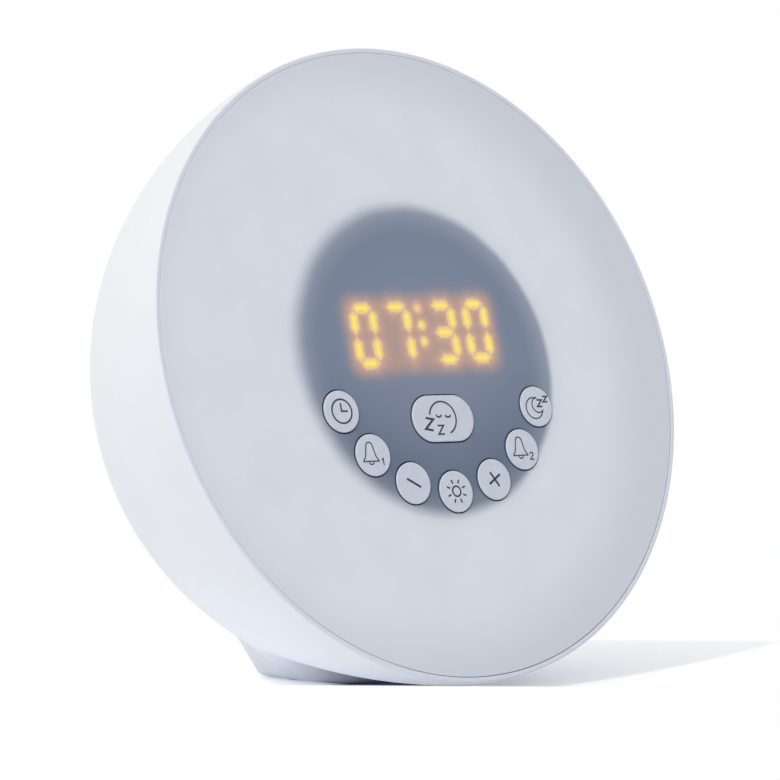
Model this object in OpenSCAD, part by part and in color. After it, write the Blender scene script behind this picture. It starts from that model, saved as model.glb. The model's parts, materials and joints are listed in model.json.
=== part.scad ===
// Sunrise alarm clock: a shallow bowl on a flared foot, closed at the front by a frosted disc.
// The disc carries eight keys, shows the time from behind and glows from a ring of lamps.
// Row frame: +Z up, the clock faces -Y, and the origin is the centre of the foot's underside.
// Clock frame: x to the right, y up the leaning face, and depths are measured behind the face.

/* [Body] */
// Diameter of the rim around the face
face_d = 172; // [168:1:180]
// Depth from the face to the flat back
body_depth = 63; // [62:1:70]
// Radius of the bowl's side curve
bowl_arc_r = 100.3; // [98:0.1:110]
// Depth at which the bowl is widest
rim_depth = 2.1; // [1:0.1:4]
// Radius of the edge around the back
back_edge_r = 5; // [4:0.5:7]
// Thickness of the moulded walls
wall = 2.2; // [1.8:0.1:2.6]
// How far the face leans back, in degrees
lean = 16.4; // [14:0.1:19]
// Depth of the flat on which the bowl's lowest point stands
stand_flat = 0.9; // [0.6:0.1:1.2]

/* [Foot] */
// Width of the foot at the floor
foot_w = 54.4; // [46:0.2:60]
// Length of the foot's sides at the floor
foot_l = 22; // [18:1:26]
// How far the foot's front edge curves forward
foot_bow = 8.5; // [6:0.5:11]
// Height to which the foot rises into the bowl
foot_h = 14; // [11:1:16]
// Diameter of the rubber pads under the foot
pad_d = 10; // [7:0.5:12]
// Thickness of the rubber pads
pad_t = 1; // [0.6:0.1:1.6]

/* [Front disc] */
// Width of the lip around the disc
lip_w = 1.35; // [1.1:0.05:1.7]
// Seam between the disc and the lip
seam = 0.35; // [0.2:0.05:0.5]
// Thickness of the disc
disc_t = 2.5; // [2:0.1:3]
// Height of the skirt behind the disc
skirt_h = 5.8; // [4:0.2:7]
// Thickness of the skirt
skirt_t = 1.4; // [1:0.1:1.6]

/* [Keys] */
// Radius of the arc on which the round keys lie
key_ring_r = 35.9; // [35:0.1:38]
// Angle between neighbouring round keys
key_angle_step = 22.5; // [21.5:0.5:24]
// Diameter of a round key
key_d = 11.2; // [9:0.1:11.8]
// Width of the snooze key
snooze_w = 20.8; // [17:0.2:24]
// Height of the snooze key
snooze_h = 12.6; // [10:0.2:13]
// Distance of the snooze key below the face's centre
snooze_drop = 16.3; // [15.5:0.1:18]
// Gap around each key
key_gap = 0.25; // [0.15:0.05:0.35]
// How far the keys stand out of the disc
key_proud = 0.6; // [0.3:0.1:1]
// Travel of a key
key_travel = 0.6; // [0.3:0.1:0.8]
// Width of the flange that keeps a key behind the disc
key_flange = 0.9; // [0.6:0.1:1]
// Diameter of a key's stem
stem_d = 4.4; // [3.6:0.1:4.8]

/* [Display] */
// Width of the display
display_w = 52; // [49:0.5:54]
// Height of the display
display_h = 21; // [19.5:0.5:23]
// Distance of the display above the face's centre
display_rise = 7; // [5:0.5:8]
// Height of a digit
digit_h = 17; // [14:0.5:17.5]
// Width of a digit
digit_w = 9; // [7:0.5:9.5]
// Width of a lit bar
bar_w = 2.2; // [1.6:0.1:2.6]

/* [Lamp] */
// Number of lamps in the ring
lamp_count = 24; // [18:1:30]
// Width of a lamp
lamp_w = 5; // [3.5:0.5:5]
// Height of a lamp
lamp_h = 1.6; // [1:0.1:2]
// Width of the lamp ring's board
lamp_board_w = 21; // [19:0.5:22]
// Depth of the reflector's flat floor
reflector_depth = 18; // [17:0.5:19]
// Thickness of the reflector
reflector_t = 1.8; // [1.4:0.1:2]

/* [Speaker] */
// Diameter of the speaker
speaker_d = 50; // [45:1:51]
// Depth of the speaker
speaker_h = 17; // [15:1:18]
// Diameter of the holes in the grille
grille_hole_d = 3; // [2:0.1:3.4]
// Distance between the rings of holes
grille_pitch = 5.2; // [4.6:0.1:5.4]

/* [Power] */
// Length of a backup cell
cell_l = 44.5; // [42:0.5:46]
// Diameter of a backup cell
cell_d = 10.5; // [9.5:0.1:10.8]
// Width of the ledge that the battery door rests on
door_ledge = 3.2; // [2.8:0.1:3.6]
// Thickness of the battery door
door_t = 2; // [1.6:0.1:2.2]
// Gap around the battery door
door_gap = 0.25; // [0.15:0.05:0.4]
// Diameter of the power plug's hole
plug_d = 5.5; // [5.5:0.1:6]

/* [Boards] */
// Width of the main board
main_w = 74; // [70:1:76]
// Height of the main board
main_h = 52; // [48:1:54]
// Thickness of the circuit boards
board_t = 1.6; // [1.2:0.1:1.8]
// Depth of the main board
main_depth = 30; // [29:0.5:31]
// Height of a key switch
switch_h = 3.5; // [3:0.1:4]
// Width of a key switch
switch_w = 4.4; // [4:0.1:4.4]

/* [Hidden] */
$fn = 64;
arc_fn = 240;               // facets of the large curves in the preview
e = 0.01;                   // overshoot of a cut through a face
far = 400;                  // larger than the clock

// Bowl
face_r = face_d / 2;
arc_x = face_r - bowl_arc_r;                    // centre of the side curve, beyond the axis
edge_crease = 0.15;         // outward shift of the edge curve's centre from tangent
inner_back = body_depth - wall;                 // depth of the back wall's inner face
back_flat_r = edge_x();
disc_r = face_r - lip_w - seam;

// Stance: the bowl's lowest point is a plane tangent to the side curve
face_height = rim_depth * sin(lean) + arc_x * cos(lean) + bowl_arc_r - stand_flat;
back_floor = (body_depth - face_height * sin(lean)) / cos(lean);    // back's foot behind the face
face_y = foot_l / 2 - back_floor;

// Foot
foot_draft = 0.1;           // sideways growth of the foot for each mm of height at the floor
foot_curl = 0.02;           // how quickly that growth increases
foot_steps = 7;             // points on each flared side
foot_corner = foot_w / 2;
bow_r = (pow(foot_corner, 2) + pow(foot_bow, 2)) / (2 * foot_bow);
pad_inset = 5;              // from a pad to the foot's side
pad_setback = 4;            // from a pad to the foot's back
pad_x = foot_w / 2 - pad_d / 2 - pad_inset;
pad_y = foot_l / 2 - pad_d / 2 - pad_setback;

// Fits
rest_gap = 0.3;             // between pieces that lie side by side
run_fit = 0.05;             // around a stem or plunger in its guide
screw_fit = 0.05;           // around a screw in its boss
hole_fit = 0.2;             // around a screw that passes through
seat_fit = 0.1;             // around a peg, pad or jack that sits in its place
screw_room = 0.5;           // past a screw's tip

// Depths behind the face, from front to back
flange_t = 1;
flange_front = disc_t + rest_gap;
flange_back = flange_front + flange_t;
shroud_t = 1.4;
key_room = 1.2;             // behind a key's flange, and past its stem's guide, when pressed
shroud_front = flange_back + key_travel + key_room;
stem_end = shroud_front + shroud_t + key_room;
plunger_out = 1.5;          // length of a plunger outside its switch
plunger_in = 1;             // length of a plunger inside its switch
switch_front = stem_end + plunger_out;
key_board_front = switch_front + switch_h;
key_board_back = key_board_front + board_t;
segment_t = 0.25;
segment_gap = 0.15;         // between the lit bars and the disc
display_front = disc_t + segment_gap + segment_t;
lamp_board_front = reflector_depth - board_t;
reflector_back = reflector_depth + reflector_t;
main_back = main_depth + board_t;

// Radii of the inner stack
stem_margin = 0.5;          // from a key's stem to the shroud's wall
shroud_r = key_ring_r + stem_d / 2 + stem_margin + shroud_t;
shroud_bore = shroud_r - shroud_t;
shroud_clear = 3;           // from the shroud to the lamp board
lamp_place = 0.58;          // place of the lamps across their board
lamp_board_in = shroud_r + shroud_clear;
lamp_board_out = lamp_board_in + lamp_board_w;
lamp_ring_r = lamp_board_in + lamp_board_w * lamp_place;
floor_margin = 2;           // of the reflector's floor around the lamp board
reflector_flat = lamp_board_out + floor_margin;
skirt_end = disc_t + skirt_h;
skirt_r = side_r(skirt_end, wall) - rest_gap;
reflector_rim = side_r(skirt_end + reflector_t, wall) - rest_gap;
ribbon_w = 12;
ribbon_t = 0.8;
ribbon_hole_r = ribbon_w / 2 + 2;
plunger_d = 3;
guide_pin_d = 3;
guide_pin_inset = 4;        // from a guide pin to the snooze key's end
guide_pin_x = snooze_w / 2 - guide_pin_inset;

// Posts and screws
post_r = 4.5;
post_bore = 3.3;
post_end = 26;
post_floor = 2;
post_margin = 1.5;          // from a post to the bowl's side
post_ring = side_r(inner_back, wall) - post_r - post_margin;
post_count = 4;
post_angle = 45;
stub_r = post_r - 1;        // of the reflector's post on a housing post
long_screw_r = 1.5;
long_head_r = 2.8;
long_head_h = 2;
long_screw_l = 9;
small_screw_r = 1.1;
small_head_r = 2.2;
small_head_h = 1.4;
small_screw_l = 5.6;
boss_r = 2.8;
cross_length_share = 1.1;   // length of the cross in a screw's head, for a radius of 1
cross_width_share = 0.3;    // width of its arms, for a radius of 1
cross_depth_share = 0.55;   // its depth, for a head height of 1
key_board_screws = [[0, 30], [-20, -14], [20, -14]];
head_margin = 0.6;          // from a screw's head to the board's edge
lamp_screw_r = lamp_board_in + small_head_r + head_margin;
lamp_screw_count = 4;
lamp_boss_h = 3;
main_y = -4;
main_inset = 4;
main_screws = [for (sx = [-1, 1], sy = [-1, 1])
    [sx * (main_w / 2 - main_inset), main_y + sy * (main_h / 2 - main_inset)]];

// Speaker, which faces the grille in the back
speaker_r = speaker_d / 2;
speaker_margin = 11;        // from the speaker to the edge of the flat back
speaker_y = back_flat_r - speaker_r - speaker_margin;
gasket_t = 0.6;
gasket_lap = 0.5;           // of the gasket past the frame's bore
speaker_seat = inner_back - gasket_t;
speaker_flange_t = 1.2;
speaker_flange_w = 4;
basket_t = 1;
basket_windows = 4;
window_w = 10;
window_margin = 1.5;        // from a window to the basket's ends
magnet_r = speaker_d * 0.3;
magnet_h = speaker_h * 0.38;
basket_front = speaker_seat - speaker_h + magnet_h;
cone_t = 0.4;
surround_w = 3;
neck_r = 8;
neck_t = 1;
neck_h = 2;
cap_r = neck_r - 0.5;
cap_t = 0.8;
cap_half_angle = 88;
cap_angle_step = 16;        // degrees between the points of the dust cap's section
clamp_r = 4.2;
clamp_ring = speaker_r + boss_r + 0.8;
clamp_count = 3;
clamp_angle = 90;
clamp_screw_l = 1.8;
grille_rings = 3;

// Battery bay and door
cell_pitch = cell_d + 1;
nub_r = 1.9;                // of a cell's raised end
nub_h = 0.8;
contact_t = 0.4;
spring_l = 4.2;
spring_wire_r = 0.45;
spring_turns = 5;
spring_r = 3.2;
spring_taper = 0.15;        // narrowing of a spring with each turn
bay_w = cell_l + spring_l + 2 * contact_t;
bay_play = 0.4;             // above and below the cells
bay_h = cell_pitch + cell_d + 2 * bay_play;
bay_wall = 1.6;
door_w = bay_w + 2 * door_ledge;
door_h = bay_h + 2 * door_ledge;
door_r = 3;
door_seat = body_depth - door_t;
cell_seat = 0.1;            // between the cells and the bay's floor
cell_room = 0.6;            // between the cells and the door
bay_floor = door_seat - cell_d - cell_seat - cell_room;
bay_flange_t = 2;
bay_flange_w = 2;
door_margin = 7;            // from the door's lower corners to the edge of the flat back
bay_y = door_h / 2 - sqrt(pow(back_flat_r - door_margin, 2) - pow(door_w / 2, 2));
cell_depth = bay_floor + cell_d / 2 + cell_seat;
ledge_y = (bay_h + door_ledge) / 2;             // middle of the ledge above or below the bay
latch_w = 8;
latch_t = 1.2;
latch_h = 3;
peg_r = 1;
peg_h = 1.6;
peg_x = door_w * 0.3;
notch_w = 12;               // finger notch above the door
notch_h = 1.1;
notch_l = 3;
notch_arc = (pow(notch_w / 2, 2) + pow(notch_h, 2)) / (2 * notch_h);
grip_count = 5;             // grooves across the door
grip_w = 14;
grip_h = 0.8;
grip_depth = 0.5;
grip_pitch = 1.8;
grip_drop = 6;              // from the door's upper edge to the first groove
plate_h = 9;                // height of a contact that meets one cell
plate_margin = 0.8;         // from a contact to the bay's floor
plate_room = 1.2;           // from a contact to the door
tab_w = 3;
tab_out = 1;

// Power jack
jack_w = 11;
jack_h = 9;
jack_l = 10.8;
jack_collar_t = 1.25;
jack_collar_r = plug_d / 2 + jack_collar_t;
jack_bore_l = 9;
jack_pin_r = 1;
jack_pin_set = 1;           // of the pin's tip behind the collar
jack_margin = 19;           // from the jack to the edge of the flat back
jack_x = -(back_flat_r - jack_margin);
jack_y = (speaker_y - speaker_r + bay_y + door_h / 2) / 2;
jack_sunk = 0.4;            // of the collar behind the housing's back
jack_face = body_depth - jack_sunk;
jack_back = inner_back - jack_l;
cradle_t = 1.4;
cradle_short = 3;           // how much of the jack stands past its cradle

// Chips, each as x, y above the main board's middle, width, height and thickness, and
// capacitors, each as x, y above the board's lower edge, radius and height
chips = [[0, 6, 12, 12, 1.4], [16, -8, 8, 5, 1.6], [-12, 14, 6, 6, 1.2]];
cans = [[-14, 11, 4, 10], [-3, 11, 4, 10], [9, 9, 2.5, 7], [24, 12, 3.2, 8]];

// Sockets on the main board, and the leads that end on it
socket_w = 6;
socket_d = 5;
socket_h = 6;
socket_top = main_back + socket_h;
socket_inset = 9;           // from a socket's middle to the board's side
speaker_socket_y = 8;
battery_socket_y = -14;
power_socket_y = 2;
speaker_socket = [main_w / 2 - socket_inset, speaker_socket_y];
battery_socket = [socket_inset - main_w / 2, battery_socket_y];
power_socket = [socket_inset - main_w / 2, power_socket_y];
lead_r = 0.55;
lead_sides = 10;
lead_gap = 1.2;
lead_rise = 3;              // straight length of a lead at each end
lamp_lead_out = 3;          // from the lamp board's bore to the leads
lamp_lead_y = -(lamp_board_in + lamp_lead_out);
lamp_lead_turn = 24;
lamp_lead_inset = 4;        // from the lamp leads' end to the board's edge
lamp_lead_rise = 2;
speaker_lead_angle = -40;
speaker_lead_inset = 1.1;
speaker_lead_rise = 9;      // past the speaker's magnet

// Digits: which of the seven bars are lit, in the order top, upper right, lower right,
// bottom, lower left, upper left, middle
LIT = [[1, 1, 1, 1, 1, 1, 0], [1, 1, 1, 0, 0, 0, 0], [1, 1, 1, 1, 0, 0, 1], [1, 1, 1, 1, 1, 1, 0]];
digit_pitch = digit_w + 2.45;
colon_w = 3.85;             // extra space between the two pairs of digits
bar_gap = 0.3;
dot_r = 1.1;
dot_rises = [-0.13, 0.13, 0.4];                 // heights of the dots, in heights of a digit

function side_r(depth, inset) =
    arc_x + sqrt(pow(bowl_arc_r - inset, 2) - pow(depth - rim_depth, 2));
function edge_x() =
    arc_x + sqrt(pow(bowl_arc_r - back_edge_r, 2) - pow(body_depth - back_edge_r - rim_depth, 2));
function key_angle(i) = -90 + (i - 3) * key_angle_step;
function foot_half(z) = foot_w / 2 + foot_draft * z + foot_curl * z * z;
function digit_x(i) = (i - 1.5) * digit_pitch + (i < 2 ? -colon_w / 2 : colon_w / 2);
function cap_arc(r) = concat([[0, -r * cos(cap_angle_step / 2)]],
    [for (a = [cap_angle_step / 2 : cap_angle_step : cap_half_angle]) [r * sin(a), -r * cos(a)]]);
function reverse(list) = [for (i = [len(list) - 1 : -1 : 0]) list[i]];
function unit(v) = v / norm(v);
function lead_tangent(path, i) = unit(
    (i == 0 ? [0, 0, 0] : unit(path[i] - path[i - 1]))
    + (i == len(path) - 1 ? [0, 0, 0] : unit(path[i + 1] - path[i])));
function lead_ring(centre, along) = let (u = unit(cross(along, [1, 0, 0])), v = cross(along, u))
    [for (k = [0 : lead_sides - 1])
        centre + lead_r * (cos(k * 360 / lead_sides) * u + sin(k * 360 / lead_sides) * v)];
function ring_points(r, n, turn = 0) = [for (i = [0 : n - 1])
    [r * cos(turn + i * 360 / n), r * sin(turn + i * 360 / n)]];

// Places its children in the clock frame.
module clock_frame() {
    translate([0, face_y, face_height]) rotate([90 - lean, 0, 0]) children();
}

// Extrudes a flat shape from one depth to a greater one.
module between(front, back) {
    translate([0, 0, -back]) linear_extrude(back - front) children();
}

module rod(x, y, front, back, r) {
    translate([x, y, -back]) cylinder(r = r, h = back - front);
}

module plate(w, h, x = 0, y = 0) {
    translate([x - w / 2, y - h / 2]) square([w, h]);
}

module round_plate(w, h, r) {
    plate(w - 2 * r, h);
    plate(w, h - 2 * r);
    for (sx = [-1, 1], sy = [-1, 1]) translate([sx * (w / 2 - r), sy * (h / 2 - r)]) circle(r = r);
}

module at_posts() {
    for (p = ring_points(post_ring, post_count, post_angle)) translate(p) children();
}

module at_clamps() {
    translate([0, speaker_y, 0]) for (p = ring_points(clamp_ring, clamp_count, clamp_angle))
        translate(p) children();
}

module at_lamp_screws() {
    for (p = ring_points(lamp_screw_r, lamp_screw_count, 45)) translate(p) children();
}

// Half section of the bowl, with each face but the front moved inward by inset.
// The side curve meets the edge curve in a fine crease, edge_crease away from tangent.
module bowl_section(inset) {
    edge_depth = body_depth - back_edge_r;
    edge_centre = edge_x() + edge_crease;
    intersection() {
        translate([arc_x, -rim_depth]) circle(r = bowl_arc_r - inset, $fn = arc_fn);
        union() {
            translate([0, -edge_depth]) square([far, edge_depth]);
            translate([0, inset - body_depth]) square([edge_centre, body_depth - inset]);
            translate([edge_centre, -edge_depth]) circle(r = back_edge_r - inset);
        }
    }
}

module bowl(inset) {
    rotate_extrude($fn = arc_fn) bowl_section(inset);
}

// A screw whose head lies behind the given depth, with its shank towards the face.
module screw_from_back(depth, head_r, head_h, shank_r, shank_l) {
    difference() {
        union() {
            rod(0, 0, depth, depth + head_h, head_r);
            rod(0, 0, depth - shank_l, depth + e, shank_r);
        }
        between(depth + head_h * (1 - cross_depth_share), depth + head_h + e) {
            plate(head_r * cross_length_share, head_r * cross_width_share);
            plate(head_r * cross_width_share, head_r * cross_length_share);
        }
    }
}

// The same screw, driven from the face's side.
module screw_from_front(depth, head_r, head_h, shank_r, shank_l) {
    translate([0, 0, -2 * depth]) mirror([0, 0, 1])
        screw_from_back(depth, head_r, head_h, shank_r, shank_l);
}

// A lead with lead_sides sides through a list of points, each given as x, y and depth.
module lead(points) {
    path = [for (q = points) [q[0], q[1], -q[2]]];
    last = len(path) - 1;
    rings = [for (i = [0 : last]) lead_ring(path[i], lead_tangent(path, i))];
    sides = [for (i = [0 : last - 1], k = [0 : lead_sides - 1])
        [i * lead_sides + k, (i + 1) * lead_sides + k,
            (i + 1) * lead_sides + (k + 1) % lead_sides, i * lead_sides + (k + 1) % lead_sides]];
    start = [for (k = [0 : lead_sides - 1]) k];
    end = [for (k = [lead_sides - 1 : -1 : 0]) last * lead_sides + k];
    polyhedron(points = [for (ring = rings) each ring], faces = concat([start, end], sides));
}

// Housing
module foot_block() {
    heights = [for (i = [0 : foot_steps]) foot_h * i / foot_steps];
    right = [for (z = heights) [foot_half(z), z]];
    left = [for (i = [foot_steps : -1 : 0]) [-foot_half(heights[i]), heights[i]]];
    intersection() {
        translate([0, foot_l, 0]) rotate([90, 0, 0]) linear_extrude(3 * foot_l)
            polygon(concat(right, left));
        linear_extrude(foot_h) intersection() {
            translate([0, bow_r - foot_l / 2 - foot_bow]) circle(r = bow_r, $fn = arc_fn);
            plate(far, 3 * foot_l, 0, 0);
        }
        clock_frame() between(0, body_depth) plate(far, far);
    }
}

module bay_blocks() {
    between(door_seat - bay_flange_t, inner_back + wall / 2)
        plate(door_w + 2 * bay_flange_w, door_h + 2 * bay_flange_w, 0, bay_y);
    between(bay_floor - bay_wall, door_seat)
        plate(bay_w + 2 * bay_wall, bay_h + 2 * bay_wall, 0, bay_y);
}

module bay_cuts() {
    between(door_seat, body_depth + e) translate([0, bay_y])
        round_plate(door_w + 2 * door_gap, door_h + 2 * door_gap, door_r + door_gap);
    between(bay_floor, body_depth + e) plate(bay_w, bay_h, 0, bay_y);
    between(door_seat - latch_h - rest_gap, body_depth)
        plate(latch_w + 2 * rest_gap, latch_t + 2 * rest_gap, 0, bay_y + ledge_y);
    for (side = [-1, 1]) {
        rod(side * peg_x, bay_y - ledge_y, door_seat - peg_h - rest_gap, body_depth, peg_r + seat_fit);
        for (row = [-1, 1]) between(bay_floor - bay_wall - e, bay_floor + e)
            plate(2 * contact_t, tab_w + 2 * contact_t, side * (bay_w - contact_t) / 2,
                bay_y + row * cell_pitch / 2);
    }
    translate([0, bay_y + door_h / 2, -(body_depth + notch_arc - notch_h)]) rotate([-90, 0, 0])
        cylinder(r = notch_arc, h = notch_l);
}

module grille_cuts() {
    rod(0, speaker_y, inner_back - e, body_depth + e, grille_hole_d / 2);
    for (ring = [1 : grille_rings], p = ring_points(ring * grille_pitch, 6 * ring))
        rod(p[0], speaker_y + p[1], inner_back - e, body_depth + e, grille_hole_d / 2);
}

module rear_housing() {
    color("white") difference() {
        union() {
            intersection() {
                difference() {
                    union() {
                        clock_frame() bowl(0);
                        foot_block();
                    }
                    clock_frame() bowl(wall);
                }
                linear_extrude(far) plate(far, far);
            }
            clock_frame() {
                at_posts() rod(0, 0, post_end, inner_back + wall / 2, post_r);
                bay_blocks();
                at_clamps() rod(0, 0, speaker_seat - speaker_flange_t, inner_back + wall / 2, boss_r);
                for (side = [-1, 1]) between(jack_back + cradle_short, inner_back + wall / 2)
                    plate(cradle_t, jack_h, jack_x + side * (jack_w / 2 + cradle_t / 2 + seat_fit), jack_y);
            }
        }
        clock_frame() {
            rod(0, 0, -1, disc_t, face_r - lip_w, $fn = arc_fn);
            at_posts() {
                rod(0, 0, post_end + post_floor, body_depth + e, post_bore);
                rod(0, 0, post_end - e, body_depth, long_screw_r + hole_fit);
            }
            at_clamps() rod(0, 0, 0, speaker_seat - speaker_flange_t + clamp_screw_l + screw_room,
                small_screw_r + screw_fit);
            bay_cuts();
            grille_cuts();
            rod(jack_x, jack_y, inner_back - e, body_depth + e, jack_collar_r + hole_fit);
        }
        for (side = [-1, 1]) translate([side * pad_x, pad_y, -e])
            cylinder(r = pad_d / 2 + seat_fit, h = pad_t + e);
    }
}

module foot_pads() {
    color("dimgray") for (side = [-1, 1]) translate([side * pad_x, pad_y, 0])
        cylinder(r = pad_d / 2, h = pad_t);
}

// Front disc, and the shapes of the keys that pass through it
module key_outline(grow) {
    circle(r = key_d / 2 + grow);
}

module snooze_outline(grow) {
    round_plate(snooze_w + 2 * grow, snooze_h + 2 * grow, snooze_h / 2 + grow - e);
}

module at_key(i) {
    translate([key_ring_r * cos(key_angle(i)), key_ring_r * sin(key_angle(i)), 0]) children();
}

module at_snooze() {
    translate([0, -snooze_drop, 0]) children();
}

module front_disc() {
    color("lightsteelblue") clock_frame() difference() {
        union() {
            rod(0, 0, 0, disc_t, disc_r, $fn = arc_fn);
            difference() {
                rod(0, 0, disc_t - e, skirt_end, skirt_r, $fn = arc_fn);
                rod(0, 0, 0, skirt_end + e, skirt_r - skirt_t, $fn = arc_fn);
            }
        }
        for (i = [0 : 6]) at_key(i) between(-e, disc_t + e) key_outline(key_gap);
        at_snooze() between(-e, disc_t + e) snooze_outline(key_gap);
    }
}

module round_key(i) {
    color("gainsboro") clock_frame() at_key(i) {
        between(-key_proud, flange_front + e) key_outline(0);
        between(flange_front, flange_back) key_outline(key_flange);
        rod(0, 0, flange_back - e, stem_end, stem_d / 2);
    }
}

module snooze_key() {
    color("gainsboro") clock_frame() at_snooze() {
        between(-key_proud, flange_front + e) snooze_outline(0);
        between(flange_front, flange_back) snooze_outline(key_flange);
        rod(0, 0, flange_back - e, stem_end, stem_d / 2);
        for (side = [-1, 1])
            rod(side * guide_pin_x, 0, flange_back - e, shroud_front + shroud_t, guide_pin_d / 2);
    }
}

module plunger() {
    color("darkred") rod(0, 0, stem_end, switch_front + plunger_in, plunger_d / 2);
}

module key_plunger(i) {
    clock_frame() at_key(i) plunger();
}

module clock_key() { round_key(0); }
module first_alarm_key() { round_key(1); }
module minus_key() { round_key(2); }
module light_key() { round_key(3); }
module plus_key() { round_key(4); }
module second_alarm_key() { round_key(5); }
module sleep_key() { round_key(6); }
module clock_plunger() { key_plunger(0); }
module first_alarm_plunger() { key_plunger(1); }
module minus_plunger() { key_plunger(2); }
module light_plunger() { key_plunger(3); }
module plus_plunger() { key_plunger(4); }
module second_alarm_plunger() { key_plunger(5); }
module sleep_plunger() { key_plunger(6); }
module snooze_plunger() { clock_frame() at_snooze() plunger(); }

// Inner stack, from the face backwards
module display_shroud() {
    color("darkslategray") clock_frame() difference() {
        rod(0, 0, shroud_front, reflector_depth, shroud_r);
        rod(0, 0, shroud_front + shroud_t, reflector_depth + e, shroud_bore);
        between(0, shroud_front + shroud_t + e)
            plate(display_w + 2 * rest_gap, display_h + 2 * rest_gap, 0, display_rise);
        for (i = [0 : 6]) at_key(i) rod(0, 0, 0, stem_end, stem_d / 2 + run_fit);
        at_snooze() {
            rod(0, 0, 0, stem_end, stem_d / 2 + run_fit);
            for (side = [-1, 1]) rod(side * guide_pin_x, 0, 0, stem_end, guide_pin_d / 2 + run_fit);
        }
    }
}

module key_board() {
    color("seagreen") clock_frame() difference() {
        rod(0, 0, key_board_front, key_board_back, shroud_bore - rest_gap);
        for (p = key_board_screws) rod(p[0], p[1], 0, reflector_depth, small_screw_r + hole_fit);
    }
}

module key_switch() {
    difference() {
        between(switch_front, key_board_front) plate(switch_w, switch_w);
        rod(0, 0, 0, switch_front + plunger_in + key_travel + rest_gap, plunger_d / 2 + run_fit);
    }
}

module key_switches() {
    color("black") clock_frame() {
        for (i = [0 : 6]) at_key(i) rotate(key_angle(i)) key_switch();
        at_snooze() key_switch();
    }
}

module display_module() {
    color("black") clock_frame() between(display_front, key_board_front)
        plate(display_w, display_h, 0, display_rise);
}

// A bar with pointed ends, along x, centred on the origin.
module bar(length) {
    half = length / 2 - bar_gap;
    polygon([[-half, 0], [-half + bar_w / 2, bar_w / 2], [half - bar_w / 2, bar_w / 2], [half, 0],
        [half - bar_w / 2, -bar_w / 2], [-half + bar_w / 2, -bar_w / 2]]);
}

module digit(lit) {
    across = digit_w - bar_w;
    up = (digit_h - bar_w) / 2;
    places = [[0, up, 0], [across / 2, up / 2, 90], [across / 2, -up / 2, 90], [0, -up, 0],
        [-across / 2, -up / 2, 90], [-across / 2, up / 2, 90], [0, 0, 0]];
    for (i = [0 : 6]) if (lit[i] == 1)
        translate([places[i][0], places[i][1]]) rotate(places[i][2])
            bar(places[i][2] == 0 ? across : up);
}

module display_segments() {
    color("gold") clock_frame() translate([0, display_rise, 0])
        between(display_front - segment_t, display_front) {
            for (i = [0 : 3]) translate([digit_x(i), 0]) digit(LIT[i]);
            for (rise = dot_rises) translate([0, rise * digit_h]) circle(r = dot_r);
        }
}

module reflector() {
    color("whitesmoke") clock_frame() difference() {
        union() {
            rotate_extrude($fn = arc_fn) polygon([[0, -reflector_depth],
                [reflector_flat, -reflector_depth],
                [skirt_r - skirt_t, -skirt_end], [reflector_rim, -skirt_end],
                [reflector_rim, -skirt_end - reflector_t], [skirt_r - skirt_t, -skirt_end - reflector_t],
                [reflector_flat, -reflector_back], [0, -reflector_back]]);
            for (p = key_board_screws) rod(p[0], p[1], key_board_back, reflector_back, boss_r);
            for (p = main_screws) rod(p[0], p[1], reflector_depth + e, main_depth, boss_r);
            at_lamp_screws() rod(0, 0, reflector_depth + e, reflector_back + lamp_boss_h, boss_r);
            at_posts() rod(0, 0, reflector_depth + e, post_end, stub_r);
        }
        rod(0, 0, 0, main_depth, ribbon_hole_r);
        rod(0, lamp_lead_y, 0, main_depth, 2 * lead_r + lead_gap);
        for (p = key_board_screws)
            rod(p[0], p[1], 0, key_board_front + small_screw_l + screw_room, small_screw_r + screw_fit);
        for (p = main_screws)
            rod(p[0], p[1], main_back - small_screw_l - screw_room, main_depth + e,
                small_screw_r + screw_fit);
        at_lamp_screws()
            rod(0, 0, 0, lamp_board_front + small_screw_l + screw_room, small_screw_r + screw_fit);
        at_posts() rod(0, 0, post_end + post_floor - long_screw_l - screw_room, post_end + e,
            long_screw_r + screw_fit);
    }
}

module lamp_board() {
    color("ivory") clock_frame() difference() {
        rod(0, 0, lamp_board_front, reflector_depth, lamp_board_out, $fn = arc_fn);
        rod(0, 0, 0, main_depth, lamp_board_in, $fn = arc_fn);
        at_lamp_screws() rod(0, 0, 0, main_depth, small_screw_r + hole_fit);
    }
}

module lamps() {
    color("khaki") clock_frame() for (i = [0 : lamp_count - 1]) rotate(i * 360 / lamp_count)
        translate([lamp_ring_r, 0, 0]) between(lamp_board_front - lamp_h, lamp_board_front)
            plate(lamp_w, lamp_w);
}

module ribbon_cable() {
    color("lightgray") clock_frame() between(key_board_back, main_depth) plate(ribbon_w, ribbon_t);
}

module lamp_leads() {
    end_y = main_y - main_h / 2 + lamp_lead_inset;
    color("red") clock_frame() for (x = [-lead_gap, lead_gap])
        lead([[x, lamp_lead_y, reflector_depth], [x, lamp_lead_y, lamp_lead_turn],
            [x, end_y, main_depth - lamp_lead_rise], [x, end_y, main_depth]]);
}

// Main board and what it carries
module main_board() {
    color("seagreen") clock_frame() difference() {
        between(main_depth, main_back) plate(main_w, main_h, 0, main_y);
        for (p = main_screws) rod(p[0], p[1], 0, main_back + e, small_screw_r + hole_fit);
    }
}

module control_chips() {
    color("black") clock_frame() for (c = chips)
        between(main_back, main_back + c[4]) plate(c[2], c[3], c[0], main_y + c[1]);
}

module capacitors() {
    color("navy") clock_frame() for (c = cans)
        rod(c[0], main_y - main_h / 2 + c[1], main_back, main_back + c[3], c[2]);
}

module board_sockets() {
    color("ivory") clock_frame() for (p = [speaker_socket, battery_socket, power_socket])
        between(main_back, socket_top) plate(socket_w, socket_d, p[0], p[1]);
}

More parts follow.
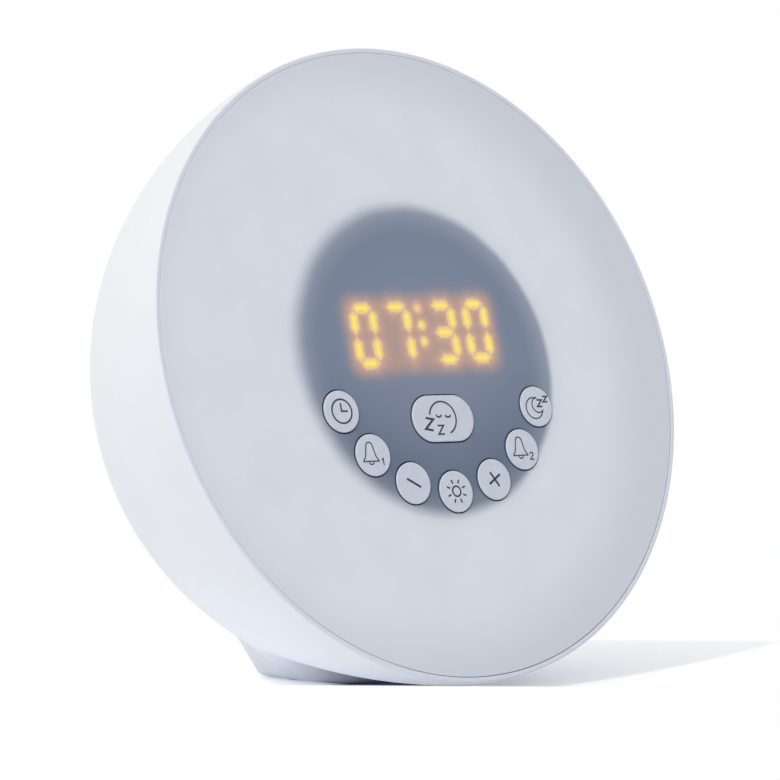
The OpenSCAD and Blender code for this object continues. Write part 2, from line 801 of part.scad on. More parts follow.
// Speaker
module speaker_gasket() {
    color("black") clock_frame() translate([0, speaker_y, 0]) difference() {
        rod(0, 0, speaker_seat, inner_back, speaker_r);
        rod(0, 0, speaker_seat - e, inner_back + e, speaker_r - speaker_flange_w + gasket_lap);
    }
}

module speaker_frame() {
    flange_front_depth = speaker_seat - speaker_flange_t;
    bore = speaker_r - speaker_flange_w;
    color("dimgray") clock_frame() translate([0, speaker_y, 0]) difference() {
        rotate_extrude() polygon([[bore, -speaker_seat], [speaker_r, -speaker_seat],
            [speaker_r, -flange_front_depth], [bore + basket_t, -flange_front_depth],
            [magnet_r, -basket_front], [0, -basket_front], [0, -basket_front - basket_t],
            [magnet_r - basket_t, -basket_front - basket_t], [bore, -flange_front_depth - e]]);
        for (i = [0 : basket_windows - 1]) rotate((i + 0.5) * 360 / basket_windows)
            between(basket_front + window_margin, flange_front_depth - window_margin)
                plate(far, window_w, far / 2, 0);
    }
}

module speaker_cone() {
    bore = speaker_r - speaker_flange_w;
    neck = basket_front + basket_t;
    rim = speaker_seat - cone_t;
    color("black") clock_frame() translate([0, speaker_y, 0]) {
        rotate_extrude() polygon([[bore, -rim], [bore - surround_w, -rim],
            [neck_r, -neck - neck_h], [neck_r, -neck], [neck_r - neck_t, -neck],
            [neck_r - neck_t, -neck - neck_h - neck_t],
            [bore - surround_w - cone_t, -speaker_seat], [bore, -speaker_seat]]);
        rotate_extrude() translate([0, -neck])
            polygon(concat(cap_arc(cap_r), reverse(cap_arc(cap_r - cap_t))));
    }
}

module speaker_magnet() {
    color("gray") clock_frame() rod(0, speaker_y, basket_front - magnet_h, basket_front, magnet_r);
}

module speaker_leads() {
    r = speaker_r - speaker_lead_inset;
    x = r * cos(speaker_lead_angle);
    y = speaker_y + r * sin(speaker_lead_angle);
    depth = speaker_seat - speaker_flange_t;
    color("red") clock_frame() for (side = [-lead_gap, lead_gap])
        lead([[x + side, y + side, depth], [x + side, y + side, depth - speaker_lead_rise],
            [speaker_socket[0] + side, speaker_socket[1], socket_top + lead_rise],
            [speaker_socket[0] + side, speaker_socket[1], socket_top]]);
}

// Power jack
module power_jack() {
    color("black") clock_frame() difference() {
        union() {
            between(jack_back, inner_back) plate(jack_w, jack_h, jack_x, jack_y);
            rod(jack_x, jack_y, inner_back - e, jack_face, jack_collar_r);
        }
        rod(jack_x, jack_y, jack_face - jack_bore_l, jack_face + e, plug_d / 2);
    }
}

module jack_pin() {
    color("silver") clock_frame()
        rod(jack_x, jack_y, jack_face - jack_bore_l, jack_face - jack_pin_set, jack_pin_r);
}

module power_leads() {
    color("red") clock_frame() for (side = [-lead_gap, lead_gap])
        lead([[jack_x + side, jack_y, jack_back], [jack_x + side, jack_y, jack_back - lead_rise],
            [power_socket[0] + side, power_socket[1], socket_top + lead_rise],
            [power_socket[0] + side, power_socket[1], socket_top]]);
}

// Backup cells, one each way round
module battery_cells() {
    color("orange") clock_frame() for (row = [-1, 1])
        translate([row * spring_l / 2, bay_y + row * cell_pitch / 2, -cell_depth]) rotate([0, row * 90, 0]) {
            translate([0, 0, -cell_l / 2]) cylinder(r = cell_d / 2, h = cell_l - nub_h);
            translate([0, 0, cell_l / 2 - nub_h - e]) cylinder(r = nub_r, h = nub_h + e);
        }
}

// Conical springs, each a stack of rings that touch
module battery_springs() {
    pitch = (spring_l - 2 * spring_wire_r) / (spring_turns - 1);
    color("silver") clock_frame() for (row = [-1, 1])
        translate([-row * (bay_w / 2 - contact_t), bay_y + row * cell_pitch / 2, -cell_depth])
            rotate([0, row * 90, 0]) for (i = [0 : spring_turns - 1])
                translate([0, 0, spring_wire_r + i * pitch]) rotate_extrude()
                    translate([spring_r - spring_taper * i, 0]) circle(r = spring_wire_r, $fn = 16);
}

module contact(side, rows) {
    spread = len(rows) == 2 ? cell_pitch : 0;
    middle = len(rows) == 2 ? 0 : rows[0] * cell_pitch / 2;
    x = side * (bay_w - contact_t) / 2;
    between(bay_floor + plate_margin, door_seat - plate_room)
        plate(contact_t, plate_h + spread, x, bay_y + middle);
    for (row = rows) between(bay_floor - bay_wall - tab_out, bay_floor + 1)
        plate(contact_t, tab_w, x, bay_y + row * cell_pitch / 2);
}

module battery_contacts() {
    color("silver") clock_frame() {
        contact(1, [-1, 1]);
        contact(-1, [-1]);
        contact(-1, [1]);
    }
}

module battery_leads() {
    start = bay_floor - bay_wall - tab_out;
    x = -(bay_w - contact_t) / 2;
    color("red") clock_frame() for (row = [-1, 1])
        lead([[x, bay_y + row * cell_pitch / 2, start], [x, bay_y + row * cell_pitch / 2, start - lead_rise],
            [battery_socket[0] + row * lead_gap, battery_socket[1], socket_top + lead_rise],
            [battery_socket[0] + row * lead_gap, battery_socket[1], socket_top]]);
}

module battery_door() {
    color("white") clock_frame() difference() {
        union() {
            between(door_seat, body_depth) translate([0, bay_y]) round_plate(door_w, door_h, door_r);
            between(door_seat - latch_h, door_seat + e) plate(latch_w, latch_t, 0, bay_y + ledge_y);
            for (side = [-1, 1])
                rod(side * peg_x, bay_y - ledge_y, door_seat - peg_h, door_seat + e, peg_r);
        }
        for (i = [0 : grip_count - 1]) between(body_depth - grip_depth, body_depth + e)
            plate(grip_w, grip_h, 0, bay_y + door_h / 2 - grip_drop - grip_pitch * i);
    }
}

// Fasteners
module housing_screws() {
    color("silver") clock_frame() at_posts()
        screw_from_back(post_end + post_floor, long_head_r, long_head_h, long_screw_r, long_screw_l);
}

module board_screws() {
    color("silver") clock_frame() {
        for (p = key_board_screws) translate(p)
            screw_from_front(key_board_front, small_head_r, small_head_h, small_screw_r, small_screw_l);
        at_lamp_screws()
            screw_from_front(lamp_board_front, small_head_r, small_head_h, small_screw_r, small_screw_l);
        for (p = main_screws) translate(p)
            screw_from_back(main_back, small_head_r, small_head_h, small_screw_r, small_screw_l);
    }
}

module speaker_screws() {
    color("silver") clock_frame() at_clamps() screw_from_front(speaker_seat - speaker_flange_t,
        clamp_r, small_head_h, small_screw_r, clamp_screw_l);
}

rear_housing();
foot_pads();
front_disc();
reflector();
display_shroud();
key_board();
key_switches();
display_module();
display_segments();
lamp_board();
lamps();
main_board();
control_chips();
capacitors();
board_sockets();
ribbon_cable();
lamp_leads();
speaker_gasket();
speaker_frame();
speaker_cone();
speaker_magnet();
speaker_leads();
power_jack();
jack_pin();
power_leads();
battery_cells();
battery_springs();
battery_contacts();
battery_leads();
battery_door();
housing_screws();
board_screws();
speaker_screws();
clock_key();
first_alarm_key();
minus_key();
light_key();
plus_key();
second_alarm_key();
sleep_key();
snooze_key();
clock_plunger();
first_alarm_plunger();
minus_plunger();
light_plunger();
plus_plunger();
second_alarm_plunger();
sleep_plunger();
snooze_plunger();
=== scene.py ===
"""Surfaces and finishes of a sunrise alarm clock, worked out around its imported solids.

The clock is a shallow white bowl on a flared foot. A frosted disc closes its front; the disc's
middle is smoked, shows lit digits and carries eight keys. Clock coordinates are x to the right,
y up the leaning face and depth behind the face, with the origin at the face's centre.
"""

import json
import math

import bmesh
import bpy
import numpy as np
from mathutils import Euler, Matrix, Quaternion, Vector
from mathutils.geometry import delaunay_2d_cdt


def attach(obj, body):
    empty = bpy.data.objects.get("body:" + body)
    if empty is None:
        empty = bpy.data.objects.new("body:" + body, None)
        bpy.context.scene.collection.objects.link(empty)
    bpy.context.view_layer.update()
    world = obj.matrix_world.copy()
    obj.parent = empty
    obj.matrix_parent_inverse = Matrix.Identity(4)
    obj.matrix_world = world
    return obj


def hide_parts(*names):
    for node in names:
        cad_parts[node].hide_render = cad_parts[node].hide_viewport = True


bl_info = {
    "name": "Sunrise Alarm Clock",
    "version": (1, 0, 0),
    "blender": (4, 5, 0),
    "location": "3D View > Sidebar > Clock",
    "description": "Adds the surfaces and finishes of a sunrise alarm clock",
    "category": "Add Mesh",
}

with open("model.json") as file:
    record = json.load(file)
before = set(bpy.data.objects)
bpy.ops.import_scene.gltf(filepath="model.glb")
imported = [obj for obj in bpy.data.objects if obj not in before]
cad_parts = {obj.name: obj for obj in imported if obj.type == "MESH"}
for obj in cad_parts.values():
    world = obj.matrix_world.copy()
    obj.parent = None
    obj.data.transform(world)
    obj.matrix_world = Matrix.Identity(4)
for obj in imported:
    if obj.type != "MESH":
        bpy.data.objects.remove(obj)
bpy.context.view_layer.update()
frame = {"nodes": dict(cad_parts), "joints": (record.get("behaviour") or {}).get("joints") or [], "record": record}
MM = 0.001
ROOT = "clock"
KEYS = ["clock", "first_alarm", "minus", "light", "plus", "second_alarm", "sleep", "snooze"]


# Places taken from the frame
def unit(v):
    return v / np.linalg.norm(v, axis=-1, keepdims=True)


def cad_points(node):
    """Vertices of a CAD node in the row frame."""
    mesh = frame["nodes"][node].data
    co = np.empty(3 * len(mesh.vertices), np.float32)
    mesh.vertices.foreach_get("co", co)
    return co.reshape(-1, 3).astype(float)


def middle(values):
    return (values.max() + values.min()) / 2


def spread(values):
    return values.max() - values.min()


BACK = unit(np.array(frame["joints"][0]["axis"], float))
RIGHT = np.array([1.0, 0.0, 0.0])
UP = np.cross(RIGHT, BACK)
disc_points = cad_points("front_disc")
FACE = BACK * (disc_points @ BACK).min() + UP * middle(disc_points @ UP)


def clock_points(node):
    """Vertices of a CAD node as rows of x, y and depth: the row frame's turned about the face's centre."""
    return (cad_points(node) - FACE) @ np.stack([RIGHT, UP, BACK], 1)


def place(x, y, depth):
    """Row-frame points: the face's centre plus x along RIGHT, y along UP and depth along BACK."""
    x, y, depth = np.broadcast_arrays(x, y, depth)
    return FACE + x[..., None] * RIGHT + y[..., None] * UP + depth[..., None] * BACK


def spans(node):
    """Middle and spread of a CAD node in x and y, then its least and greatest depth."""
    x, y, depth = clock_points(node).T
    return middle(x), middle(y), spread(x), spread(y), depth.min(), depth.max()


DISC_R = spread(clock_points("front_disc")[:, 0]) / 2
BODY_DEPTH = clock_points("rear_housing")[:, 2].max()
LIP_Y = cad_points("rear_housing")[:, 1].min()


def srgb(*levels):
    """Linear colour of sRGB levels from 0 to 255, by the sRGB curve."""
    c = np.array(levels) / 255
    return tuple(np.where(c <= 0.04045, c / 12.92, ((c + 0.055) / 1.055) ** 2.4))


def length(name, description, default):
    return bpy.props.FloatProperty(name=name, description=description, default=default, unit="LENGTH",
                                   precision=5)


def number(name, description, default):
    return bpy.props.FloatProperty(name=name, description=description, default=default, precision=4)


def colour(name, description, default):
    return bpy.props.FloatVectorProperty(name=name, description=description, default=default,
                                         subtype="COLOR", min=0, max=1)


class ClockHousing(bpy.types.PropertyGroup):
    bowl_r: length("Side curve", "Radius of the bowl's side curve", 100.3 * MM)
    rim_r: length("Rim", "Radius of the bowl at its widest", 86 * MM)
    rim_depth: length("Rim depth", "Depth at which the bowl is widest", 2.1 * MM)
    lip_round: length("Lip rounding", "Radius along the lip's outer edge", 0.45 * MM)
    seat_r: length("Seat", "Radius of the seat around the disc", 84.65 * MM)
    seat_depth: length("Seat depth", "Thickness of the disc in its seat", 2.5 * MM)
    wall: length("Wall", "Thickness of the moulding", 2.2 * MM)
    back_round: length("Back rounding", "Radius around the back, across its blunt edge", 2.05 * MM)
    flat_r: length("Flat back", "Radius of the back's flat middle", 62.4 * MM)
    foot_width: length("Foot width", "Width of the foot's back at the floor", 53.2 * MM)
    foot_length: length("Foot length", "Length of the foot's sides at the floor", 22 * MM)
    foot_bow: length("Foot bow", "How far the foot's front edge curves forward", 8.5 * MM)
    foot_draft: number("Foot draft", "Sideways growth of the foot for each metre up", 0.42)
    foot_taper: number("Foot taper", "Sideways loss of the foot for each metre towards its front", 0.25)
    foot_top: length("Foot top", "Height at which the foot ends inside the bowl", 22 * MM)
    foot_blend: length("Foot blend", "Reach of the soft join between foot and bowl", 4 * MM)
    flank_blend: length("Flank blend", "Reach of that join along the foot's sides", 13 * MM)
    foot_corner: length("Foot corner", "Reach of the rounding at the foot's front corners", 3 * MM)
    belly: length("Belly", "Height of the bowl's flattened underside at the lip", 1.9 * MM)
    belly_rise: number("Belly rise", "Rise of the underside for each metre behind the lip", 0.062)
    belly_end: length("Belly end", "Distance behind the lip at which that rise ends", 41 * MM)
    belly_round: length("Belly rounding", "Reach of the rounding around the underside of the bowl", 8 * MM)
    belly_wall: length("Belly wall", "Thickness of that underside", 1 * MM)
    sole: length("Sole", "Height of the underside above the floor", 0.3 * MM)
    sole_round: length("Sole rounding", "Reach of the rounding around the underside", 2.2 * MM)
    hole_round: length("Hole rounding", "Radius along the edges of the holes in the back", 0.25 * MM)
    colour: colour("Colour", "Colour of the moulding", srgb(232, 234, 238))
    # The lip's colour is a painted shade, bluer and a little darker than the moulding.
    lip_painted_shade: colour("Lip colour", "Colour of the lip around the disc", srgb(229, 232, 243))
    roughness: number("Roughness", "Roughness of the moulding", 0.42)


class ClockDisc(bpy.types.PropertyGroup):
    edge_grow: length("Edge growth", "Extra radius that leaves a fine seam", 0.25 * MM)
    edge_x: length("Edge aside", "Play of the disc in its seat along x", -0.07 * MM)
    edge_y: length("Edge up", "Play of the disc in its seat along y", 0.05 * MM)
    edge_round: length("Edge rounding", "Radius along the disc's front edge", 0.2 * MM)
    hole_round: length("Hole rounding", "Radius along the edges of the key holes", 0.12 * MM)
    key_gap: length("Key gap", "Gap around each key", 0.25 * MM)
    zone_x: length("Smoked aside", "Place of the smoked middle, seen through the disc", -1.25 * MM)
    zone_y: length("Smoked rise", "Height of the smoked middle above the face's centre", -0.05 * MM)
    zone_r: length("Smoked radius", "Radius of the smoked middle, at the middle of its soft edge", 42.3 * MM)
    zone_tall: number("Smoked height", "Height of the smoked middle for a width of 1", 0.987)
    zone_edge: length("Smoked edge", "Width of the edge of the smoked middle", 4.6 * MM)
    zone_fade: length("Smoked fade", "Width of the fainter shade to both sides of that edge", 15 * MM)
    zone_fade_in: length("Smoked fade inwards", "How far that shade's middle lies inside the edge", 1.4 * MM)
    zone_share: number("Smoked share", "Share of the shade that its narrow edge takes", 0.67)
    pale: colour("Frosted", "Colour of the frosted ring", srgb(235, 239, 250))
    smoked: colour("Smoked", "Colour of the smoked middle near its edge", srgb(121, 135, 159))
    smoked_low: colour("Smoked below", "Colour of the smoked middle below the snooze key", srgb(86, 103, 127))
    smoked_middle: colour("Smoked centre", "Colour of the smoked middle at the digits", srgb(131, 141, 165))
    # The ring's darkening towards the wall is a painted shade, least at the upper left.
    painted_shade_r: length("Shade radius", "Radius from which the frosted ring darkens towards the wall", 66 * MM)
    shade: number("Shade", "Share of its colour that is left at the wall", 0.86)
    roughness: number("Roughness", "Roughness of the frosted face", 0.42)
    digit_x: length("Digits aside", "Place of the digits' middle, seen through the disc", -1.5 * MM)
    digit_y: length("Digits rise", "Height of the digits' middle above the face's centre", 6.85 * MM)
    digit_turn: number("Digits turn", "Rise of the row of digits along x, for a width of 1", 0.033)
    glow_x: length("Glow half width", "Half the width of the even glow behind the digits", 22.5 * MM)
    glow_y: length("Glow half height", "Half the height of that glow", 7.5 * MM)
    glow_fade: length("Glow fade", "Distance over which that glow fades", 5.5 * MM)
    glow_strength: number("Glow strength", "Brightness of that glow", 0.3)
    digit_pitch: length("Digit pitch", "Distance between two digits of a pair", 11.45 * MM)
    colon_width: length("Colon width", "Extra space between the pairs", 3.85 * MM)
    bar_x: length("Bar offset", "Distance of the upright bars from a digit's middle", 3.15 * MM)
    bar_y: length("Bar rise", "Distance of the end bars from a digit's middle", 7.4 * MM)
    bar_half: length("Bar half length", "Half the length of a bar, to its points", 2.8 * MM)
    bar_half_width: length("Bar half width", "Half the width of a bar", 1.15 * MM)
    blur: length("Blur", "Softness of the bars' edges behind the frosting", 1.2 * MM)
    halo: length("Halo", "Distance over which the glow around the bars fades", 1.3 * MM)
    core_colour: colour("Core", "Colour of the lit bars", srgb(255, 223, 90))
    edge_colour: colour("Edge", "Colour at the bars' edges", srgb(255, 196, 92))
    halo_colour: colour("Halo colour", "Colour of the glow around the bars", srgb(232, 164, 92))
    core_strength: number("Core strength", "Brightness of the lit bars", 0.95)
    halo_strength: number("Halo strength", "Brightness of the glow around the bars", 0.4)


class ClockKeys(bpy.types.PropertyGroup):
    cap_round: length("Cap rounding", "Radius along the edge of a cap", 0.3 * MM)
    cap_inset: length("Cap inset", "Extra gap around a cap", 0.06 * MM)
    cap_drop: length("Cap drop", "How far a cap stays below the room it has in front", 0.15 * MM)
    flange: length("Flange", "Width of the flange behind the disc", 0.9 * MM)
    flange_front: length("Flange front", "Depth of the flange's front", 2.8 * MM)
    flange_back: length("Flange back", "Depth of the flange's back", 3.8 * MM)
    stem_r: length("Stem", "Radius of a stem", 2.2 * MM)
    pin_r: length("Pin", "Radius of the snooze key's guide pins", 1.5 * MM)
    pin_x: length("Pin place", "Distance of the guide pins from the snooze key's middle", 6.4 * MM)
    pin_end: length("Pin end", "Depth of the guide pins' ends", 7.0 * MM)
    colour: colour("Colour", "Colour of the caps", srgb(216, 223, 237))
    # A cap's grey wall inside its hole is a painted shade.
    painted_wall_shade: colour("Wall colour", "Colour of a cap's wall inside its hole", srgb(110, 118, 132))
    ink_colour: colour("Ink", "Colour of the printed icons", srgb(46, 52, 62))
    ink: length("Ink thickness", "Thickness of the printed line above the cap", 0.03 * MM)


class ClockStage(bpy.types.PropertyGroup):
    camera_x: length("Camera x", "Place of the camera along x", -490.3 * MM)
    camera_y: length("Camera y", "Place of the camera along y", -618.5 * MM)
    camera_z: length("Camera z", "Height of the camera", 104.3 * MM)
    lens: number("Lens", "Focal length for a 36 mm sensor", 134.85)
    roll: bpy.props.FloatProperty(name="Roll", description="Turn of the camera about its own axis",
                                  default=math.radians(0.409), subtype="ANGLE")
    floor_tone: number("Floor tone", "Lightness of the floor that the camera sees", 0.85)
    floor_glow: number("Floor glow", "Light added to the floor that the camera sees", 0.38)
    floor_tint: colour("Floor tint", "Colour of that light", (0.9, 0.94, 1.0))
    floor_far: length("Floor far", "Distance behind the clock at which the floor turns white", 79.5 * MM)
    floor_near: length("Floor near", "Distance behind the clock, here in front, at which it turns white",
                       -23 * MM)
    floor_left: length("Floor left", "Distance to the right, here to the left, at which it turns white",
                       -28 * MM)
    # The dark floor under the bowl is a painted shadow; the floor around it sends a painted shade to the clock.
    under_x: length("Under x", "Place of the dark floor under the bowl along x", -3 * MM)
    under_y: length("Under y", "Place of that floor along y", -22 * MM)
    under_wide: length("Under half width", "Half the width of that floor", 18 * MM)
    under_deep: length("Under half depth", "Half the depth of that floor", 14 * MM)
    painted_shadow_colour: colour("Under colour", "Colour of the dark floor under the bowl", (0.12, 0.17, 0.4))
    painted_near_shade: colour("Near colour", "Colour of the floor around that, for the light it sends to the clock",
                        srgb(191, 200, 227))
    bounce: colour("Bounce", "Colour of the floor for the light it sends to the clock", srgb(243, 246, 253))
    sky_colour: colour("Sky colour", "Colour of the even light", (1.0, 1.0, 0.98))
    sky: number("Sky", "Brightness of the even light from above", 0.475)
    window: number("Window", "Brightness of the soft bright region behind the clock at the upper left", 0.58)
    horizon: number("Horizon", "Brightness of the even light from the horizon", 0.475)
    sun: number("Sun", "Strength of the soft light from the upper left", 1.0)
    sun_size: bpy.props.FloatProperty(name="Sun size", description="Angle that the soft light spans",
                                      default=math.radians(4), subtype="ANGLE")
    card: number("Card", "Brightness of the light off the floor at the left", 0.37)
    card_x: length("Card x", "Place of that light along x", -57 * MM)
    card_y: length("Card y", "Place of that light along y", -22 * MM)
    card_r: length("Card radius", "Distance at which that light ends", 68 * MM)


# Shapes
def ring(x, y, radius, count):
    """Outline of a circle as a function of growth: equal steps of angle on the radius plus the growth."""
    turn = np.linspace(0, 2 * np.pi, count, endpoint=False)

    def outline(grow):
        return np.stack([x + (radius + grow) * np.cos(turn), y + (radius + grow) * np.sin(turn)], 1)
    return outline


def slab(x, y, width, height, radius, count=8, between=0):
    """Outline of a rounded rectangle as a function of growth: a quarter circle about each corner's centre,
    of the corner's radius plus the growth, one after another anticlockwise, with points between them."""
    turn = (np.linspace(0, np.pi / 2, count) + np.arange(4)[:, None] * np.pi / 2)[..., None]
    centre = np.array([[1, 1], [-1, 1], [-1, -1], [1, -1]]) * [width / 2 - radius, height / 2 - radius]
    share = np.linspace(0, 1, between + 2)[1:-1, None]

    def outline(grow):
        corners = centre[:, None] + (radius + grow) * np.concatenate([np.cos(turn), np.sin(turn)], 2)
        onward = np.roll(corners[:, 0], -1, 0)[:, None]
        sides = corners[:, -1:] * (1 - share) + onward * share
        return np.concatenate([corners, sides], 1).reshape(-1, 2) + [x, y]
    return outline


def rounded(points, radii, steps=4, margin=0.2 * MM):
    """Profile whose inner corners are arcs. An arc touches both runs at the radius over the tangent of half
    the corner's angle; a point on each run, a margin away from the arc, lets the flats shade flat."""
    points = np.array(points, float)
    profile = [points[0]]
    for before, corner, after, radius in zip(points, points[1:], points[2:], radii):
        a, b = unit(before - corner), unit(after - corner)
        half = math.acos(np.clip(a @ b, -1, 1)) / 2
        cut = radius / math.tan(half)
        centre = corner + unit(a + b) * radius / math.sin(half)
        angle = np.linspace(0, 1, steps + 1)[:, None] * (math.pi - 2 * half)
        start, end = corner + a * cut - centre, corner + b * cut - centre
        arc = centre + (np.sin(math.pi - 2 * half - angle) * start + np.sin(angle) * end) / math.sin(2 * half)
        before_run, after_run = np.linalg.norm(before - corner) - cut, np.linalg.norm(after - corner) - cut
        profile += [arc[0] + a * min(margin, before_run / 3), *arc, arc[-1] + b * min(margin, after_run / 3)]
    return np.array([*profile, points[-1]])


def smooth_max(a, b, reach):
    """The larger of two distances, raised where they are closer than reach by a quarter of reach times the
    square of their closeness, so that the edge between two surfaces is round."""
    near = np.clip(1 - np.abs(a - b) / reach, 0, 1)
    return np.maximum(a, b) + near * near * reach / 4


def smooth_min(a, b, reach):
    """The smaller of two distances, lowered in the same way, so that the join is a soft hollow."""
    return -smooth_max(-a, -b, reach)


class Sheets:
    """Grids and flat plates that become one closed mesh where their edges meet."""

    def __init__(self):
        self.points = []
        self.faces = []
        self.count = 0

    def add(self, points, faces):
        self.points.append(points.reshape(-1, 3))
        self.faces.extend((np.asarray(faces) + self.count).tolist())
        self.count += len(self.points[-1])

    def grid(self, points, close=True):
        """Quads between neighbouring rows and columns of points; close joins the last column to the first."""
        rows, columns = points.shape[:2]
        index = np.arange(rows * columns).reshape(rows, columns)
        if close:
            index = np.concatenate([index, index[:, :1]], 1)
        quads = np.stack([index[:-1, :-1], index[:-1, 1:], index[1:, 1:], index[1:, :-1]], -1)
        self.add(points, quads.reshape(-1, 4))

    def rim(self, outline, profile, limit=None):
        """Grid around an outline: one row for each growth and depth of the profile. A limit gives the
        greatest depth at an x and y."""
        x, y = np.stack([outline(grow) for grow, _ in profile]).transpose(2, 0, 1)
        depth = np.array(profile)[:, 1:] + 0 * x
        self.grid(place(x, y, depth if limit is None else np.minimum(depth, limit(x, y))))

    def plate(self, depth, outer, *holes):
        """Flat plate at a depth between an outer loop and the loops of its holes, in triangles."""
        loops = [outer, *holes]
        flat = np.concatenate(loops)
        starts = np.cumsum([0] + [len(loop) for loop in loops])
        around = [list(range(a, b)) for a, b in zip(starts, starts[1:])]
        found = delaunay_2d_cdt([Vector(p) for p in flat / MM], [], around, 2, 1e-7)
        source = np.array([first[0] for first in found[3]])
        self.add(place(*flat[source].T, depth), found[2])

    def build(self, name, finish, body, replaced=(), crease=35):
        mesh = bpy.data.meshes.new(name)
        mesh.from_pydata(np.concatenate(self.points).tolist(), [], self.faces)
        shape = bmesh.new()
        shape.from_mesh(mesh)
        bmesh.ops.remove_doubles(shape, verts=shape.verts, dist=1e-6)
        bmesh.ops.recalc_face_normals(shape, faces=shape.faces)
        shape.to_mesh(mesh)
        shape.free()
        mesh.shade_smooth()
        mesh.set_sharp_from_angle(angle=math.radians(crease))
        mesh.materials.append(finish)
        piece = bpy.data.objects.new(name, mesh)
        bpy.context.scene.collection.objects.link(piece)
        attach(piece, body)
        if replaced:
            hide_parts(*replaced)
        return piece


# Materials
class Shade:
    """A number in a material. Python's operators on it add Math nodes."""

    def __init__(self, tree, socket):
        self.tree = tree
        self.socket = socket

    def math(self, operation, *values):
        return self.tree.add("ShaderNodeMath", {"operation": operation}, dict(enumerate(values)))[0]

    def __add__(self, other):
        return self.math("ADD", self, other)

    def __sub__(self, other):
        return self.math("SUBTRACT", self, other)

    def __rsub__(self, other):
        return self.math("SUBTRACT", other, self)

    def __mul__(self, other):
        return self.math("MULTIPLY", self, other)

    def __truediv__(self, other):
        return self.math("DIVIDE", self, other)

    def __rtruediv__(self, other):
        return self.math("DIVIDE", other, self)

    def __neg__(self):
        return self.math("MULTIPLY", self, -1.0)

    def __abs__(self):
        return self.math("ABSOLUTE", self)

    __radd__ = __add__
    __rmul__ = __mul__

    def smaller(self, other):
        return self.math("MINIMUM", self, other)

    def larger(self, other):
        return self.math("MAXIMUM", self, other)

    def root(self):
        return self.math("SQRT", self)

    def sine(self):
        return self.math("SINE", self)

    def power_of_e(self):
        return self.math("EXPONENT", self)

    def step(self, start, end):
        """0 before start, 1 after end, and a smooth S between them; start may be the larger."""
        sockets = {"Value": self, "From Min": start, "From Max": end}
        return self.tree.add("ShaderNodeMapRange", {"interpolation_type": "SMOOTHSTEP"}, sockets)[0]


class Finish:
    """The nodes of a material or of the world, under construction."""

    def __init__(self, owner):
        owner.use_nodes = True
        self.owner = owner
        self.nodes = owner.node_tree.nodes
        self.nodes.clear()
        self.links = owner.node_tree.links

    def add(self, kind, settings=None, sockets=None):
        """A new node's outputs. Settings are set first, then each socket takes a value or a link."""
        node = self.nodes.new(kind)
        for name, value in (settings or {}).items():
            setattr(node, name, value)
        for name, value in (sockets or {}).items():
            if isinstance(value, Shade):
                self.links.new(value.socket, node.inputs[name])
            else:
                node.inputs[name].default_value = value
        return [Shade(self, output) for output in node.outputs]

    def coordinates(self, scale=1.0):
        """Object coordinates, times a scale."""
        own = self.add("ShaderNodeTexCoord")[3]
        return self.add("ShaderNodeVectorMath", {"operation": "SCALE"}, {0: own, "Scale": scale})[0]

    def face(self):
        """Clock coordinates in millimetres, with minus the depth as the third: Object coordinates scaled,
        turned upright and centred."""
        turn = Euler((-math.atan2(UP[2], UP[1]), 0, 0))
        shift = -(np.array(turn.to_matrix()) @ FACE) / MM
        own = self.add("ShaderNodeTexCoord")[3]
        sockets = {"Vector": own, "Scale": (1 / MM,) * 3, "Rotation": turn, "Location": tuple(shift)}
        turned = self.add("ShaderNodeMapping", {"vector_type": "POINT"}, sockets)[0]
        return self.add("ShaderNodeSeparateXYZ", None, {0: turned})[:3]

    def noise(self, size, detail=2.0, roughness=0.5):
        """Noise from 0 to 1 whose features are about size across."""
        sockets = {"Vector": self.coordinates(1 / size), "Scale": 1.0, "Detail": detail,
                   "Roughness": roughness}
        return self.add("ShaderNodeTexNoise", None, sockets)[0]

    def mix(self, factor, a, b):
        """Colour a where the factor is 0 and b where it is 1."""
        sockets = {0: factor, 6: (*a, 1.0) if isinstance(a, tuple) else a,
                   7: (*b, 1.0) if isinstance(b, tuple) else b}
        return self.add("ShaderNodeMix", {"data_type": "RGBA"}, sockets)[2]

    def bump(self, height, distance):
        """Normal of a surface raised by distance where the height is 1."""
        return self.add("ShaderNodeBump", None, {"Height": height, "Distance": distance})[0]

    def rays(self):
        """Whether a ray comes from the camera, and whether from the camera, from gloss or through glass."""
        path = self.add("ShaderNodeLightPath")
        return path[0], path[0].larger(path[3]).larger(path[6])

    def surface(self, **sockets):
        """The finished material, from the Principled shader's sockets with _ for spaces."""
        named = {name.replace("_", " "): value for name, value in sockets.items()}
        shader = self.add("ShaderNodeBsdfPrincipled", None, named)[0]
        self.add("ShaderNodeOutputMaterial", None, {"Surface": shader})
        return self.owner


def material(name):
    return Finish(bpy.data.materials.new(name))


def tinted(colour, factor):
    return tuple(float(c) * factor for c in colour)


def hypot(a, b):
    """Root of the sum of the squares of two numbers in a material."""
    return (a * a + b * b).root()


def moulded(name, colour, roughness, grain=0.35 * MM, depth=0.006 * MM, lip=None):
    """Moulded plastic: slow drifts of shade, uneven gloss and a fine spark-eroded grain. The lip around the
    disc can take a painted shade, bluer and a little darker than the rest."""
    finish = material(name)
    drift = finish.noise(35 * MM, 2.0)
    fine = finish.noise(grain, 3.0, 0.6)
    speck = finish.noise(3 * MM, 4.0, 0.7)
    base = finish.mix(drift.step(0.3, 0.7), tinted(colour, 0.975), tinted(colour, 1.0))
    base = finish.mix(speck.step(0.62, 0.8) * 0.35, base, tinted(colour, 0.96))
    # Painted shade on the lip: its front turns to a bluer, darker colour.
    if lip:
        lip_back, lip_front = -0.9, -0.3
        base = finish.mix(finish.face()[2].step(lip_back, lip_front), base, lip)
    gloss = roughness + (drift - 0.5) * 0.08 + (fine - 0.5) * 0.06
    return finish.surface(Base_Color=base, Roughness=gloss, Normal=finish.bump(fine, depth))


def housing_white(s):
    return moulded("white_moulding", tuple(s.colour), s.roughness, lip=tuple(s.lip_painted_shade))


